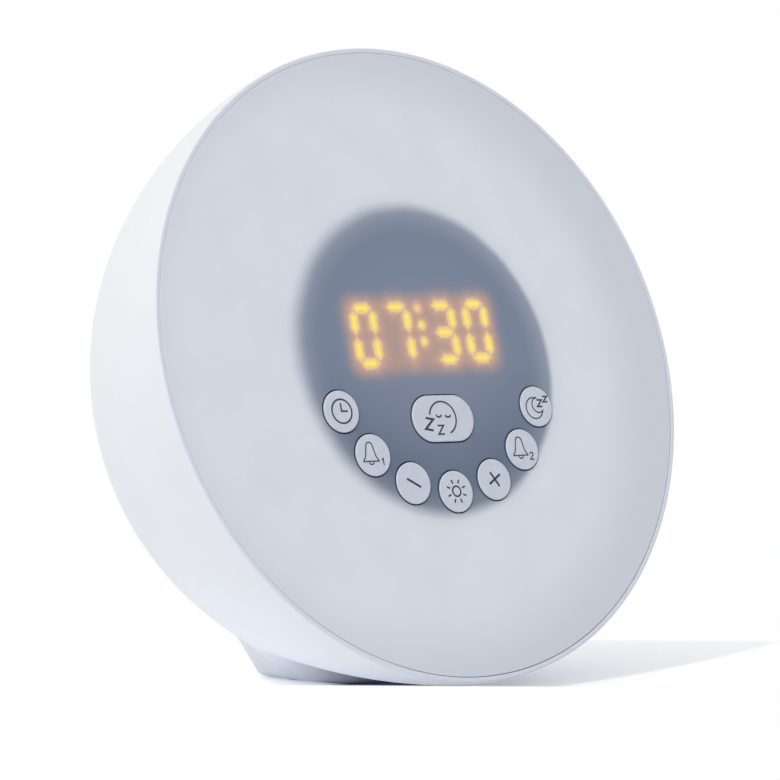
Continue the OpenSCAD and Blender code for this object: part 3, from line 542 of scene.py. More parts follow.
def bars_shown(u, v, s):
    """Distance from the lit bars of 07 30, across u and up v from their middle. A bar is the hexagon where
    both the distance from its axis is under its half width and the sum of the distances along and from the
    axis is under its half length."""
    half, thick = s.bar_half / MM, s.bar_half_width / MM
    bar_x, bar_y = s.bar_x / MM, s.bar_y / MM

    def bar(along, aside):
        """Distance from a bar, from the distances along and from its axis."""
        return (aside - thick).larger((along + aside - half) * math.sqrt(0.5))

    rise = abs(v)
    uprights = abs(rise - bar_y / 2)
    digits = None
    for index, shape in enumerate(["zero", "seven", "three", "zero"]):
        side = -0.5 if index < 2 else 0.5
        own = u - ((index - 1.5) * s.digit_pitch + side * s.colon_width) / MM
        across = abs(own)
        right = bar(uprights, abs(own - bar_x))
        if shape == "zero":
            shown = bar(uprights, abs(across - bar_x)).smaller(bar(across, abs(rise - bar_y)))
        elif shape == "seven":
            shown = right.smaller(bar(across, abs(v - bar_y)))
        else:
            shown = right.smaller(bar(across, abs(rise - bar_y))).smaller(bar(across, rise))
        digits = shown if digits is None else digits.smaller(shown)
    return digits


def disc_frosting(s):
    """Frosted disc: a pale ring, a smoked middle with a soft edge, and lit bars blurred by the frosting. The
    edge is softer on the left; a painted shade darkens the ring towards the wall, least at the upper left."""
    finish = material("frosted_disc")
    x, y, _ = finish.face()
    cloud = finish.noise(14 * MM, 3.0, 0.55)
    fine = finish.noise(0.5 * MM, 2.0, 0.5)

    # How smoked the disc is: a narrow edge and a wider fade
    aside, up = x - s.zone_x / MM, (y - s.zone_y / MM) * (1.0 / s.zone_tall)
    beyond = hypot(aside, up) - s.zone_r / MM
    sharp_x = 90.0
    edge = (s.zone_edge / MM / 2) * (1.0 - aside / sharp_x)
    fade = s.zone_fade / MM / 2
    narrow = (beyond + (cloud - 0.5)).step(edge, -edge)
    wide = (beyond + s.zone_fade_in / MM).step(fade, -fade)
    smoke = narrow * s.zone_share + wide * (1.0 - s.zone_share)

    # Distances from the lit shapes: bars, colon and the dot that shows that an alarm is on
    u = x - s.digit_x / MM
    v = y - s.digit_y / MM - u * s.digit_turn
    colon_y, colon_r, alarm_x, alarm_y, alarm_r, ragged = 2.2, 1.0, -0.4, 6.8, 1.65, 0.7
    colon = hypot(u, abs(v) - colon_y) - colon_r
    alarm_dot = hypot(u - alarm_x, v - alarm_y) - alarm_r
    digits = bars_shown(u, v, s).smaller(colon) + (finish.noise(1.3 * MM, 1.0) - 0.5) * ragged
    blur = s.blur / MM
    core = digits.step(blur, -blur)
    dim = alarm_dot.step(blur, -blur) * 0.75
    reach = digits.smaller(alarm_dot + 1.0).larger(0.0)
    halo = (reach * (-MM / s.halo)).power_of_e() * s.halo_strength
    out_x, out_y = (abs(u) - s.glow_x / MM).larger(0.0), (abs(v) - s.glow_y / MM).larger(0.0)
    window = hypot(out_x, out_y).step(s.glow_fade / MM, 0.0) * s.glow_strength

    # Colours
    # Painted shade: the frosted ring darkens towards the wall about a centre shifted to the left, so its right
    # side is darker.
    painted_shade_shift, wall_r, middle_r, middle_in, low_start, low_end = 10.0, DISC_R / MM + 4.0, 38.0, 8.0, 4.0, -34.0
    pale = finish.mix(cloud.step(0.3, 0.7), tinted(s.pale, 0.985), tinted(s.pale, 1.015))
    pale = finish.mix(hypot(x + painted_shade_shift, y).step(s.painted_shade_r / MM, wall_r), pale, tinted(s.pale, s.shade))
    centre = hypot(aside, y).step(middle_r, middle_in)
    smoked = finish.mix(y.step(low_start, low_end), tuple(s.smoked), tuple(s.smoked_low))
    smoked = finish.mix(cloud * 0.3 + centre * 0.7, smoked, tuple(s.smoked_middle))
    base = finish.mix(smoke, pale, smoked)
    lamp_off = (0.10, 0.05, 0.01)
    base = finish.mix((core * 0.85).larger(window), base, lamp_off)
    glow = finish.mix(core, tuple(s.halo_colour), tuple(s.edge_colour))
    glow = finish.mix(digits.step(blur * 0.6, -blur * 0.4), glow, tuple(s.core_colour))
    glow = finish.mix(dim, glow, tuple(s.edge_colour))
    power = (halo + window).larger(core * s.core_strength).larger(dim)
    lit = finish.mix(power, (0.0, 0.0, 0.0), glow)
    return finish.surface(Base_Color=base, Roughness=s.roughness + (cloud - 0.5) * 0.06,
                          Emission_Color=lit, Emission_Strength=1.0,
                          Normal=finish.bump(fine, 0.004 * MM))


def brushed(name, colour, roughness):
    """Plated steel: long fine scratches along x and a mottled gloss."""
    finish = material(name)
    own = finish.coordinates(1.0)
    stretched = finish.add("ShaderNodeVectorMath", {"operation": "MULTIPLY"},
                           {0: own, 1: (150.0, 4000.0, 4000.0)})[0]
    scratch = finish.add("ShaderNodeTexNoise", None, {"Vector": stretched, "Scale": 1.0, "Detail": 3.0})[0]
    mottle = finish.noise(1.5 * MM, 3.0)
    base = finish.mix(mottle, tinted(colour, 0.88), tinted(colour, 1.0))
    return finish.surface(Base_Color=base, Metallic=1.0, Roughness=roughness + (scratch - 0.5) * 0.2,
                          Normal=finish.bump(scratch, 0.003 * MM))


def glowing(name, colour, strength):
    """A lit face: its colour, a little brighter in the middle of each patch, given off as light."""
    finish = material(name)
    patch = finish.noise(1.2 * MM, 2.0)
    base = finish.mix(patch, tinted(colour, 0.85), tinted(colour, 1.0))
    return finish.surface(Base_Color=base, Roughness=0.4, Emission_Color=base, Emission_Strength=strength)


def sleeved(name, colour):
    """A cell's printed sleeve: a dark band at one end of each, bare steel at both tips."""
    finish = material(name)
    x, _, _ = finish.face()
    grime = finish.noise(4 * MM, 4.0)
    band_x, tip_x, copper, steel = 10.0, 20.4, srgb(170, 120, 60), srgb(190, 190, 192)
    base = finish.mix(abs(x).step(band_x, band_x + 0.4), tinted(colour, 1.0), copper)
    tip = abs(x).step(tip_x, tip_x + 0.2)
    base = finish.mix(tip, base, steel)
    return finish.surface(Base_Color=base, Metallic=tip, Roughness=0.32 + grime * 0.1,
                          Normal=finish.bump(grime, 0.01 * MM))


def woven(name, colour, roughness, size, depth):
    """Foam, paper, ferrite and nylon: a mottled shade over a coarse grain."""
    finish = material(name)
    grain = finish.noise(size, 5.0, 0.7)
    drift = finish.noise(size * 12, 2.0)
    base = finish.mix(grain * 0.6 + drift * 0.4, tinted(colour, 0.7), tinted(colour, 1.1))
    return finish.surface(Base_Color=base, Roughness=roughness + (grain - 0.5) * 0.1,
                          Normal=finish.bump(grain, depth))


def board(name, colour):
    """Solder mask: fine copper tracks that show as a lighter shade under the lacquer."""
    finish = material(name)
    x, y, _ = finish.face()
    track = abs((x * 0.9).sine() * (y * 1.1).sine()).step(0.02, 0.1)
    mask = finish.noise(9 * MM, 2.0).step(0.45, 0.55)
    base = finish.mix(track * mask, tinted(colour, 1.5), tinted(colour, 1.0))
    return finish.surface(Base_Color=base, Roughness=0.3 + mask * 0.08, Coat_Weight=0.4,
                          Normal=finish.bump(track, 0.02 * MM))


def slot_colour(slot):
    """A material slot's colour in the record."""
    return next(tuple(m["base_color"]) for m in frame["record"]["materials"] if m["slot"] == slot)


def inner_finish(slot):
    """Material of the pieces that keep their CAD surface, by their slot in the record."""
    shade = slot_colour(slot)
    if slot in ("circuit_board", "lamp_board"):
        return board(slot, shade)
    if slot == "plated_steel":
        return brushed(slot, shade, 0.28)
    if slot in ("lit_bar", "lamp"):
        return glowing(slot, shade, 0.6)
    if slot in ("foam", "cone_paper", "ferrite", "ribbon", "socket"):
        return woven(slot, shade, 0.85, 0.25 * MM, 0.03 * MM)
    if slot == "cell_sleeve":
        return sleeved(slot, shade)
    glossy = slot in ("capacitor", "lead")
    return moulded(slot, shade, 0.3 if glossy else 0.5)


# Housing
def belly_height(y, s):
    """Height of the bowl's flattened underside: a slope that rises behind the lip, then level."""
    return s.belly + s.belly_rise * np.clip(y - LIP_Y, 0, s.belly_end)


def housing_distance(p, s):
    """Distance of row-frame points from the housing, below zero inside. The side is the distance from an arc
    turned about the clock's axis, flattened underneath with a rounding that grows from the lip by a quarter
    of the distance behind it; the foot is flared walls, whose half width grows with height and towards the
    back, and a round front; both are joined softly, most along the foot's sides, cut by the rounded back and
    rounded at the sole."""
    x, y, height = p[..., 0], p[..., 1], p[..., 2]
    across, depth = (p - FACE) @ UP, (p - FACE) @ BACK
    side = np.hypot(np.hypot(x, across) - (s.rim_r - s.bowl_r), depth - s.rim_depth) - s.bowl_r
    belly_reach = np.clip((y - LIP_Y) / 4, 0.3 * MM, s.belly_round)
    side = smooth_max(side, belly_height(y, s) - height, belly_reach)
    flare = np.abs(x) - s.foot_width / 2 - s.foot_draft * height - s.foot_taper * (y - s.foot_length / 2)
    bow_r = (s.foot_width ** 2 / 4 + s.foot_bow ** 2) / (2 * s.foot_bow)
    bow = np.hypot(x, y + s.foot_length / 2 + s.foot_bow - bow_r) - bow_r
    foot = np.maximum(smooth_max(flare, bow, s.foot_corner), height - s.foot_top)
    flank_y = np.array([-15, -8, 0, 9]) * MM
    reach = np.interp(y, flank_y, [s.foot_blend, s.flank_blend, s.flank_blend, s.foot_blend])
    walls = smooth_min(side, foot, reach) + s.back_round
    back = depth - BODY_DEPTH + s.back_round
    shell = np.minimum(np.maximum(walls, back), 0) + np.hypot(np.maximum(walls, 0), np.maximum(back, 0))
    return smooth_max(shell - s.back_round, s.sole - height, s.sole_round)


def cast_out(rough, s, centre_depth=33 * MM, rounds=36):
    """Moves points along rays from a centre inside the bowl onto the housing's surface, by halving the
    stretch in which the distance changes sign. The surface lies within nearest and farthest times the
    points' own distance from the centre."""
    nearest, farthest = 0.85, 1.4
    centre = place(0, 0, centre_depth)
    ray = rough - centre
    low, high = np.full(rough.shape[:-1], nearest), np.full(rough.shape[:-1], farthest)
    for _ in range(rounds):
        half = (low + high) / 2
        outside = housing_distance(centre + half[..., None] * ray, s) > 0
        low, high = np.where(outside, low, half), np.where(outside, half, high)
    return centre + high[..., None] * ray


def around(count=510, crowd=0.7):
    """Angles around the clock, from its lowest point. A sine takes away from even steps near that point,
    where the foot is, and adds to them at the top."""
    u = np.arange(count) / count
    return -np.pi / 2 + 2 * np.pi * (u - crowd * np.sin(2 * np.pi * u) / (2 * np.pi))


def turned(radius, depth, angles):
    """Surface of revolution about the clock's axis, a row for each radius and depth."""
    radius, depth = np.asarray(radius)[:, None], np.asarray(depth)[:, None]
    return place(radius * np.cos(angles), radius * np.sin(angles), depth + 0 * angles)


def back_holes(s):
    """Each hole in the back: its outline, then its profile as growths and depths from the back's face to
    the inner wall's."""
    r, inner = s.hole_round, BODY_DEPTH - s.wall
    through = rounded([(r + 0.3 * MM, BODY_DEPTH), (0, BODY_DEPTH), (0, inner)], [r])
    x, y = spans("speaker_frame")[:2]
    pitch, hole_r, jack_r = 5.2 * MM, 1.5 * MM, 4.2 * MM
    holes = [(ring(x, y, hole_r, 20), through)]
    for rings in range(1, 4):
        for turn in 2 * math.pi * np.arange(6 * rings) / (6 * rings):
            at = (x + rings * pitch * math.cos(turn), y + rings * pitch * math.sin(turn))
            holes.append((ring(*at, hole_r, 20), through))
    holes.append((ring(*spans("power_jack")[:2], jack_r, 48), through))
    screws = clock_points("housing_screws")
    well_r, well_floor, post_end, bore, post_wall = 3.3 * MM, 28 * MM, 26 * MM, 1.7 * MM, 1.2 * MM
    well = rounded([(r + 0.3 * MM, BODY_DEPTH), (0, BODY_DEPTH), (0, well_floor)], [r])
    well = [*well, (bore - well_r, well_floor), (bore - well_r, post_end), (post_wall, post_end),
            (post_wall, inner)]
    for corner in ((-1, -1), (-1, 1), (1, -1), (1, 1)):
        own = screws[(screws[:, :2] * corner > 0).all(1)]
        holes.append((ring(middle(own[:, 0]), middle(own[:, 1]), well_r, 32), well))
    return holes


# The battery door's fit: the ledge around the bay, the door's thickness and the places of its stops
LEDGE, DOOR_THICK, DOOR_CORNER = 3.2 * MM, 2 * MM, 3 * MM


def door_stops(x, y, width, height, latch, peg_r):
    """Outlines of the latch at the door's top, of a length and width, and of the two pegs at its foot."""
    high = (height - LEDGE) / 2
    return [slab(x, y + high, *latch, 0.3 * MM, 4),
            *[ring(x + side * 0.3 * width, y - high, peg_r, 20) for side in (-1, 1)]]


def battery_bay(sheets, s, inner):
    """The door's seat and the bay behind it, as steps inwards from the back, and the block around them.
    Returns the loops that they leave in the back's face and in the inner wall."""
    x, y, width, height = spans("battery_door")[:4]
    gap, wall, notch_x, notch_y, notch = 0.25 * MM, 1.6 * MM, 6 * MM, 3 * MM, 1.1 * MM
    seat, floor, step = BODY_DEPTH - DOOR_THICK, spans("battery_contacts")[4] + 2.6 * MM, 57.2 * MM
    recess = slab(x, y, width + 2 * gap, height + 2 * gap, DOOR_CORNER + gap, 8, 60)
    bay = slab(x, y, width - 2 * LEDGE, height - 2 * LEDGE, 1 * MM, 6)
    r, tuck, bay_lip, bay_tuck = s.hole_round, 0.5 * MM, 0.4 * MM, 0.6 * MM
    edge = rounded([(r + 0.3 * MM, BODY_DEPTH), (0, BODY_DEPTH), (0, seat), (-tuck, seat)], [r, 0.15 * MM])
    apron = np.stack([np.linspace(3.8 * MM, 0.9 * MM, 8), np.full(8, BODY_DEPTH)], 1)

    def dish(px, py):
        """The finger notch: a hollow that is deepest at the door's top edge, round to both sides."""
        aside = np.clip(1 - ((px - x) / notch_x) ** 2, 0, 1)
        above = np.clip((py - y - height / 2) / notch_y, 0, 1)
        return BODY_DEPTH - notch * aside ** 2 * (1 - above ** 2) ** 2 * (py > y)

    sheets.rim(recess, np.concatenate([apron, edge]), dish)
    slots = door_stops(x, y, width, height, (8.6 * MM, 1.8 * MM), 1.1 * MM)
    for slot, depth in zip(slots, [3.3 * MM, 1.9 * MM, 1.9 * MM]):
        sheets.rim(slot, [(0, seat), (0, seat - depth)])
        sheets.plate(seat - depth, slot(0))
    sheets.rim(bay, rounded([(bay_lip, seat), (0, seat), (0, floor), (-bay_tuck, floor)], [0.3 * MM] * 2))
    sheets.plate(seat, recess(-tuck), bay(bay_lip), *[slot(0) for slot in slots])
    sheets.plate(floor, bay(-bay_tuck))
    block = slab(x, y, width + 4 * MM, height + 4 * MM, 1 * MM, 4)
    sheets.rim(block, [(0, inner), (0, step)])
    sheets.plate(step, block(0), bay(wall))
    sheets.rim(bay, [(wall, step), (wall, floor - wall)])
    sheets.plate(floor - wall, bay(wall))
    return [recess(apron[0][0])], [block(0)]


def add_housing(s):
    """The moulding: lip and outer surface, flat back with its holes, inner wall and inner surface. The outer
    surface is the arc of the bowl's side, then the round edge of the back, with more rows where the foot's
    front meets the bowl, cast out onto the housing; the inner surface is both arcs less the wall."""
    sheets = Sheets()
    angles = around()
    arc_x = s.rim_r - s.bowl_r
    inner_r = s.bowl_r - s.wall
    seat_in = arc_x + math.sqrt(inner_r ** 2 - (s.seat_depth - s.rim_depth) ** 2)
    lip_r = arc_x + math.sqrt(s.bowl_r ** 2 - s.rim_depth ** 2)
    lip = rounded([(seat_in, s.seat_depth), (s.seat_r, s.seat_depth), (s.seat_r, 0), (lip_r, 0),
                   (s.rim_r, s.rim_depth)], [0.1 * MM, 0.18 * MM, s.lip_round])[:-1]
    edge_x, edge_depth, foot_front, foot_inside = 62.88 * MM, 58 * MM, 0.27, 0.36
    end = math.atan2(edge_depth - s.rim_depth, edge_x - arc_x)
    side = np.sort(np.concatenate([np.linspace(0, end, 80), np.linspace(foot_front, foot_inside, 14)]))
    turn = np.linspace(end, math.pi / 2, 24)[1:]
    edge_r = BODY_DEPTH - edge_depth
    radius = np.concatenate([arc_x + s.bowl_r * np.cos(side), edge_x + edge_r * np.cos(turn), [s.flat_r]])
    depth = np.concatenate([s.rim_depth + s.bowl_r * np.sin(side), edge_depth + edge_r * np.sin(turn),
                            [BODY_DEPTH]])
    outer = cast_out(turned(radius, depth, angles), s)
    sheets.grid(np.concatenate([turned(*lip.T, angles), outer]))

    inner = BODY_DEPTH - s.wall
    side = np.linspace(math.asin((s.seat_depth - s.rim_depth) / inner_r), end, 16)
    turn = np.linspace(end, math.pi / 2, 6)[1:]
    radius = np.concatenate([arc_x + inner_r * np.cos(side), edge_x + (edge_r - s.wall) * np.cos(turn)])
    depth = np.concatenate([s.rim_depth + inner_r * np.sin(side),
                            edge_depth + (edge_r - s.wall) * np.sin(turn)])
    points = turned(radius, depth, angles)
    points[..., 2] = smooth_max(points[..., 2], belly_height(points[..., 1], s) + s.belly_wall, 1 * MM)
    sheets.grid(points)

    holes = back_holes(s)
    for outline, profile in holes:
        sheets.rim(outline, profile)
    outer_loops, inner_loops = battery_bay(sheets, s, inner)
    flat = np.stack([np.cos(angles), np.sin(angles)], 1)
    sheets.plate(BODY_DEPTH, s.flat_r * flat, *[o(p[0][0]) for o, p in holes], *outer_loops)
    sheets.plate(inner, edge_x * flat, *[o(p[-1][0]) for o, p in holes], *inner_loops)
    return sheets.build("housing_moulding", housing_white(s), ROOT, ["rear_housing"])


def key_outline(name):
    """Outline of a key's cap: a circle, or for the snooze key a slab with round ends. The flange around the
    cap is as wide all round, so it is taken off the CAD node's spread."""
    x, y, width, height = spans(name + "_key")[:4]
    flange = 2 * bpy.context.scene.clock_keys.flange
    if name == "snooze":
        return slab(x, y, width - flange, height - flange, (height - flange) / 2, 24)
    return ring(x, y, (width - flange) / 2, 72)


def add_front_disc(s):
    """The disc: a front and a back plate, joined around its edge and around each key's hole."""
    sheets = Sheets()
    thick = bpy.context.scene.clock_housing.seat_depth
    tuck = 0.6 * MM
    outer = ring(s.edge_x, s.edge_y, DISC_R + s.edge_grow, 300)
    sheets.rim(outer, rounded([(-tuck, 0), (0, 0), (0, thick), (-tuck, thick)], [s.edge_round, 0.1 * MM]))
    outlines = [key_outline(name) for name in KEYS]
    gap, away = s.key_gap, s.key_gap + 0.4 * MM
    for outline in outlines:
        sheets.rim(outline, rounded([(away, 0), (gap, 0), (gap, thick), (away, thick)],
                                    [s.hole_round, 0.1 * MM]))
    for depth in (0, thick):
        sheets.plate(depth, outer(-tuck), *[outline(away) for outline in outlines])
    return sheets.build("frosted_disc", disc_frosting(s), ROOT, ["front_disc"])


def key_plastic(s):
    """Satin key plastic: pale, mottled faintly, and grey with a painted shade where the cap's wall goes down into
    its hole.
    """
    finish = material("key_plastic")
    cloud = finish.noise(2.5 * MM, 3.0, 0.6)
    fine = finish.noise(0.3 * MM, 2.0)
    # Painted shade: the cap turns grey below its top, where its wall goes down into the hole.
    top, wall = 0.22, -0.02
    base = finish.mix(cloud.step(0.35, 0.7), tinted(s.colour, 0.95), tinted(s.colour, 1.0))
    base = finish.mix(finish.face()[2].step(top, wall), base, tuple(s.painted_wall_shade))
    return finish.surface(Base_Color=base, Roughness=0.36 + (cloud - 0.5) * 0.08,
                          Normal=finish.bump(fine, 0.004 * MM))


def ink(s):
    """Printed ink: dark, with the broken density of a thin screen print."""
    finish = material("printed_ink")
    grain = finish.noise(0.18 * MM, 3.0, 0.7)
    base = finish.mix(grain.step(0.45, 0.75) * 0.6, tuple(s.ink_colour), tinted(s.ink_colour, 2.0))
    return finish.surface(Base_Color=base, Roughness=0.55)


def add_key(name, s, finish):
    """A cap with a rounded edge, its flange behind the disc, and its stem."""
    sheets = Sheets()
    outline = key_outline(name)
    x, y, _, _, top, stem_end = spans(name + "_key")
    top += s.cap_drop
    front, back, flange = s.flange_front, s.flange_back, s.flange
    small, tuck, foot, inset = 0.12 * MM, 0.9 * MM, 0.3 * MM, -s.cap_inset
    sheets.rim(outline, rounded([(-tuck, top), (inset, top), (inset, front), (flange, front),
                                 (flange, back), (-tuck, back)], [s.cap_round, small, small, small]))
    sheets.plate(top, outline(-tuck))
    stems = [(ring(x, y, s.stem_r, 32), stem_end)]
    if name == "snooze":
        stems += [(ring(x + side * s.pin_x, y, s.pin_r, 24), s.pin_end) for side in (-1, 1)]
    for stem, end in stems:
        sheets.rim(stem, rounded([(foot, back), (0, back), (0, end), (-2 * foot, end)], [small, foot]))
        sheets.plate(end, stem(-2 * foot))
    sheets.plate(back, outline(-tuck), *[stem(foot) for stem, _ in stems])
    return sheets.build(name + "_cap", finish, name + "_button", [name + "_key"])


# Icons: lines in millimetres from a key's middle, each with its width and whether it is closed
FINE, PLAIN, BOLD = 0.34, 0.46, 0.62


def arc(x, y, radius, start, end, count=24):
    """Points on a circle from a start to an end angle, in degrees."""
    turn = np.radians(np.linspace(start, end, count))
    return np.stack([x + radius * np.cos(turn), y + radius * np.sin(turn)], 1)


def rotated(path, angle):
    """A path turned about the origin, in degrees."""
    t = math.radians(angle)
    return np.asarray(path) @ np.array([[math.cos(t), math.sin(t)], [-math.sin(t), math.cos(t)]])


def zed(x, y, width, height, angle=0):
    """The letter of sleep: a bar, a slant and a bar."""
    w, h = width / 2, height / 2
    return rotated([(-w, h), (w, h), (-w, -h), (w, -h)], angle) + [x, y]


def clock_icon():
    hands = np.array([(-0.1, 2.1), (-0.1, 0), (1.9, 0)])
    return [(arc(0, 0, 3.15, 0, 360, 49)[:-1], PLAIN, True), (hands, PLAIN, False)]


def bell_icon(figure):
    """A bell with a round crown, straight shoulders and a flared lip, its clapper, and a figure beside it."""
    crown = arc(0, 2.5, 1.05, 15, 165, 13)
    right = np.array([(2.5, -1.45), (2.35, -1.05), (1.8, -0.45), (1.45, 0.7)])
    left = right[::-1] * [-1, 1]
    bell = np.concatenate([right, crown, left]) + [-1.0, -0.2]
    clapper = arc(-1.0, -1.75, 0.75, 190, 350, 9)
    return [(bell, FINE, True), (clapper, FINE, False), (np.array(figure) + [2.85, -1.9], FINE, False)]


def sun_icon():
    rays = [np.array([(2.2 * math.cos(t), 2.2 * math.sin(t)), (3.3 * math.cos(t), 3.3 * math.sin(t))])
            for t in np.radians(22.5 + 45 * np.arange(8))]
    return [(arc(0, 0, 1.35, 0, 360, 33)[:-1], PLAIN, True)] + [(ray, PLAIN, False) for ray in rays]


def moon_icon():
    """A crescent between two circles, with two letters of sleep."""
    outer = arc(-0.9, -0.5, 2.9, 68, 328, 33)
    inner = arc(0.55, 0.35, 2.1, 325, 93, 25)
    return [(np.concatenate([outer, inner[1:-1]]), FINE, True), (zed(1.2, 0.8, 1.7, 1.8), PLAIN, False),
            (zed(3.4, 1.9, 1.6, 1.5), PLAIN, False)]


def sleeper_icon():
    """A round sleeping head, open at the lower left, with closed eyes and two letters of sleep."""
    return [(arc(-0.2, 0.1, 4.4, 168, -68, 49), PLAIN, False),
            (arc(-1.5, 1.35, 1.0, 205, 335, 9), PLAIN, False),
            (arc(1.6, 1.25, 1.0, 205, 335, 9), PLAIN, False),
            (zed(-5.1, -1.5, 2.5, 3.0, -10), BOLD, False), (zed(-1.5, -3.1, 2.0, 2.3), PLAIN, False)]


def dash(angle, half):
    return rotated([(-half, 0), (half, 0)], angle)


ICONS = {
    "clock": clock_icon(),
    "first_alarm": bell_icon([(-0.45, 0.45), (0.05, 0.85), (0.05, -0.85)]),
    "minus": [(dash(-30, 2.4), BOLD, False)],
    "light": sun_icon(),
    "plus": [(dash(32, 2.4), BOLD, False), (dash(122, 2.3), BOLD, False)],
    "second_alarm": bell_icon([(-0.65, 0.5), (-0.3, 0.95), (0.35, 0.9), (0.55, 0.4), (-0.65, -0.95),
                               (0.7, -0.95)]),
    "sleep": moon_icon(),
    "snooze": sleeper_icon(),
}


def stroke_edges(path, width, closed):
    """Left and right edges of a stroke: each point moves along its mitre by half the width over the cosine
    of half the turn there."""
    before, after = np.roll(path, 1, 0), np.roll(path, -1, 0)
    if not closed:
        before[0] = 2 * path[0] - path[1]
        after[-1] = 2 * path[-1] - path[-2]
    a, b = unit(path - before), unit(after - path)
    mitre = unit((a + b) @ np.array([[0, 1], [-1, 0]]))
    cosine = np.sum(mitre * (a @ np.array([[0, 1], [-1, 0]])), 1)
    shift = mitre * (width / 2 / np.maximum(cosine, 0.4))[:, None]
    return path + shift, path - shift


def add_icon(name, s, finish):
    """Printed lines on a cap: a flat box section carried along each line."""
    x, y, _, _, top, _ = spans(name + "_key")
    sheets = Sheets()
    over, under = top + s.cap_drop - s.ink, top + s.cap_drop + s.ink
    for path, width, closed in ICONS[name]:
        left, right = stroke_edges(path * MM + [x, y], width * MM, closed)
        section = np.stack([place(*left.T, under), place(*left.T, over), place(*right.T, over),
                            place(*right.T, under)], 1)
        if closed:
            section = np.concatenate([section, section[:1]])
        else:
            sheets.add(section[0], [[3, 2, 1, 0]])
            sheets.add(section[-1], [[0, 1, 2, 3]])
        sheets.grid(section)
    return sheets.build(name + "_icon", finish, name + "_button", crease=30)


def add_door(s):
    """The battery door: a plate with rounded edges, grip grooves near its top, a latch and two pegs."""
    sheets = Sheets()
    x, y, width, height, front, back = spans("battery_door")
    seat, tuck, tip = back - DOOR_THICK, 0.45 * MM, 0.15 * MM
    door = slab(x, y, width, height, DOOR_CORNER)
    sheets.rim(door, rounded([(-tuck, back), (0, back), (0, seat), (-tuck, seat)], [0.35 * MM, 0.15 * MM]))
    pitch, first, lip, bottom = 1.8 * MM, 6 * MM, 0.3 * MM, back - 0.5 * MM
    grooves = [slab(x, y + height / 2 - first - pitch * k, 14 * MM, 0.9 * MM, 0.44 * MM, 6) for k in range(5)]
    for groove in grooves:
        sheets.rim(groove, rounded([(lip, back), (0, back), (-0.05 * MM, bottom), (-lip, bottom)],
                                   [0.12 * MM, 0.1 * MM]))
        sheets.plate(bottom, groove(-lip))
    sheets.plate(back, door(-tuck), *[groove(lip) for groove in grooves])
    stops = door_stops(x, y, width, height, (8 * MM, 1.2 * MM), 1 * MM)
    for stop, end in zip(stops, [front, seat - 1.6 * MM, seat - 1.6 * MM]):
        sheets.rim(stop, [(0, seat), (0, end + tip), (-tip, end)])
        sheets.plate(end, stop(-tip))
    sheets.plate(seat, door(-tuck), *[stop(0) for stop in stops])
    return sheets.build("battery_door_plate", housing_white(s), "door", ["battery_door"])


def add_pads(finish):
    """The rubber pads: low discs with rounded edges under the foot, as a radius and height carried round."""
    sheets = Sheets()
    co = cad_points("foot_pads")
    radius, height = spread(co[:, 1]) / 2, co[:, 2].max()
    turn = np.linspace(0, 2 * np.pi, 48, endpoint=False)
    profile = rounded([(0.02 * MM, 0), (radius, 0), (radius, height), (0.02 * MM, height)],
                      [0.2 * MM, 0.1 * MM])
    r, z = profile[:, :1], profile[:, 1:]
    for side in (-1, 1):
        own = co[co[:, 0] * side > 0]
        x, y = middle(own[:, 0]), middle(own[:, 1])
        points = np.stack([x + r * np.cos(turn), y + r * np.sin(turn), z + 0 * turn], -1)
        sheets.grid(points)
        sheets.add(points[0], [list(range(48))])
        sheets.add(points[-1], [list(range(48))])
    return sheets.build("rubber_pads", finish, ROOT, ["foot_pads"])


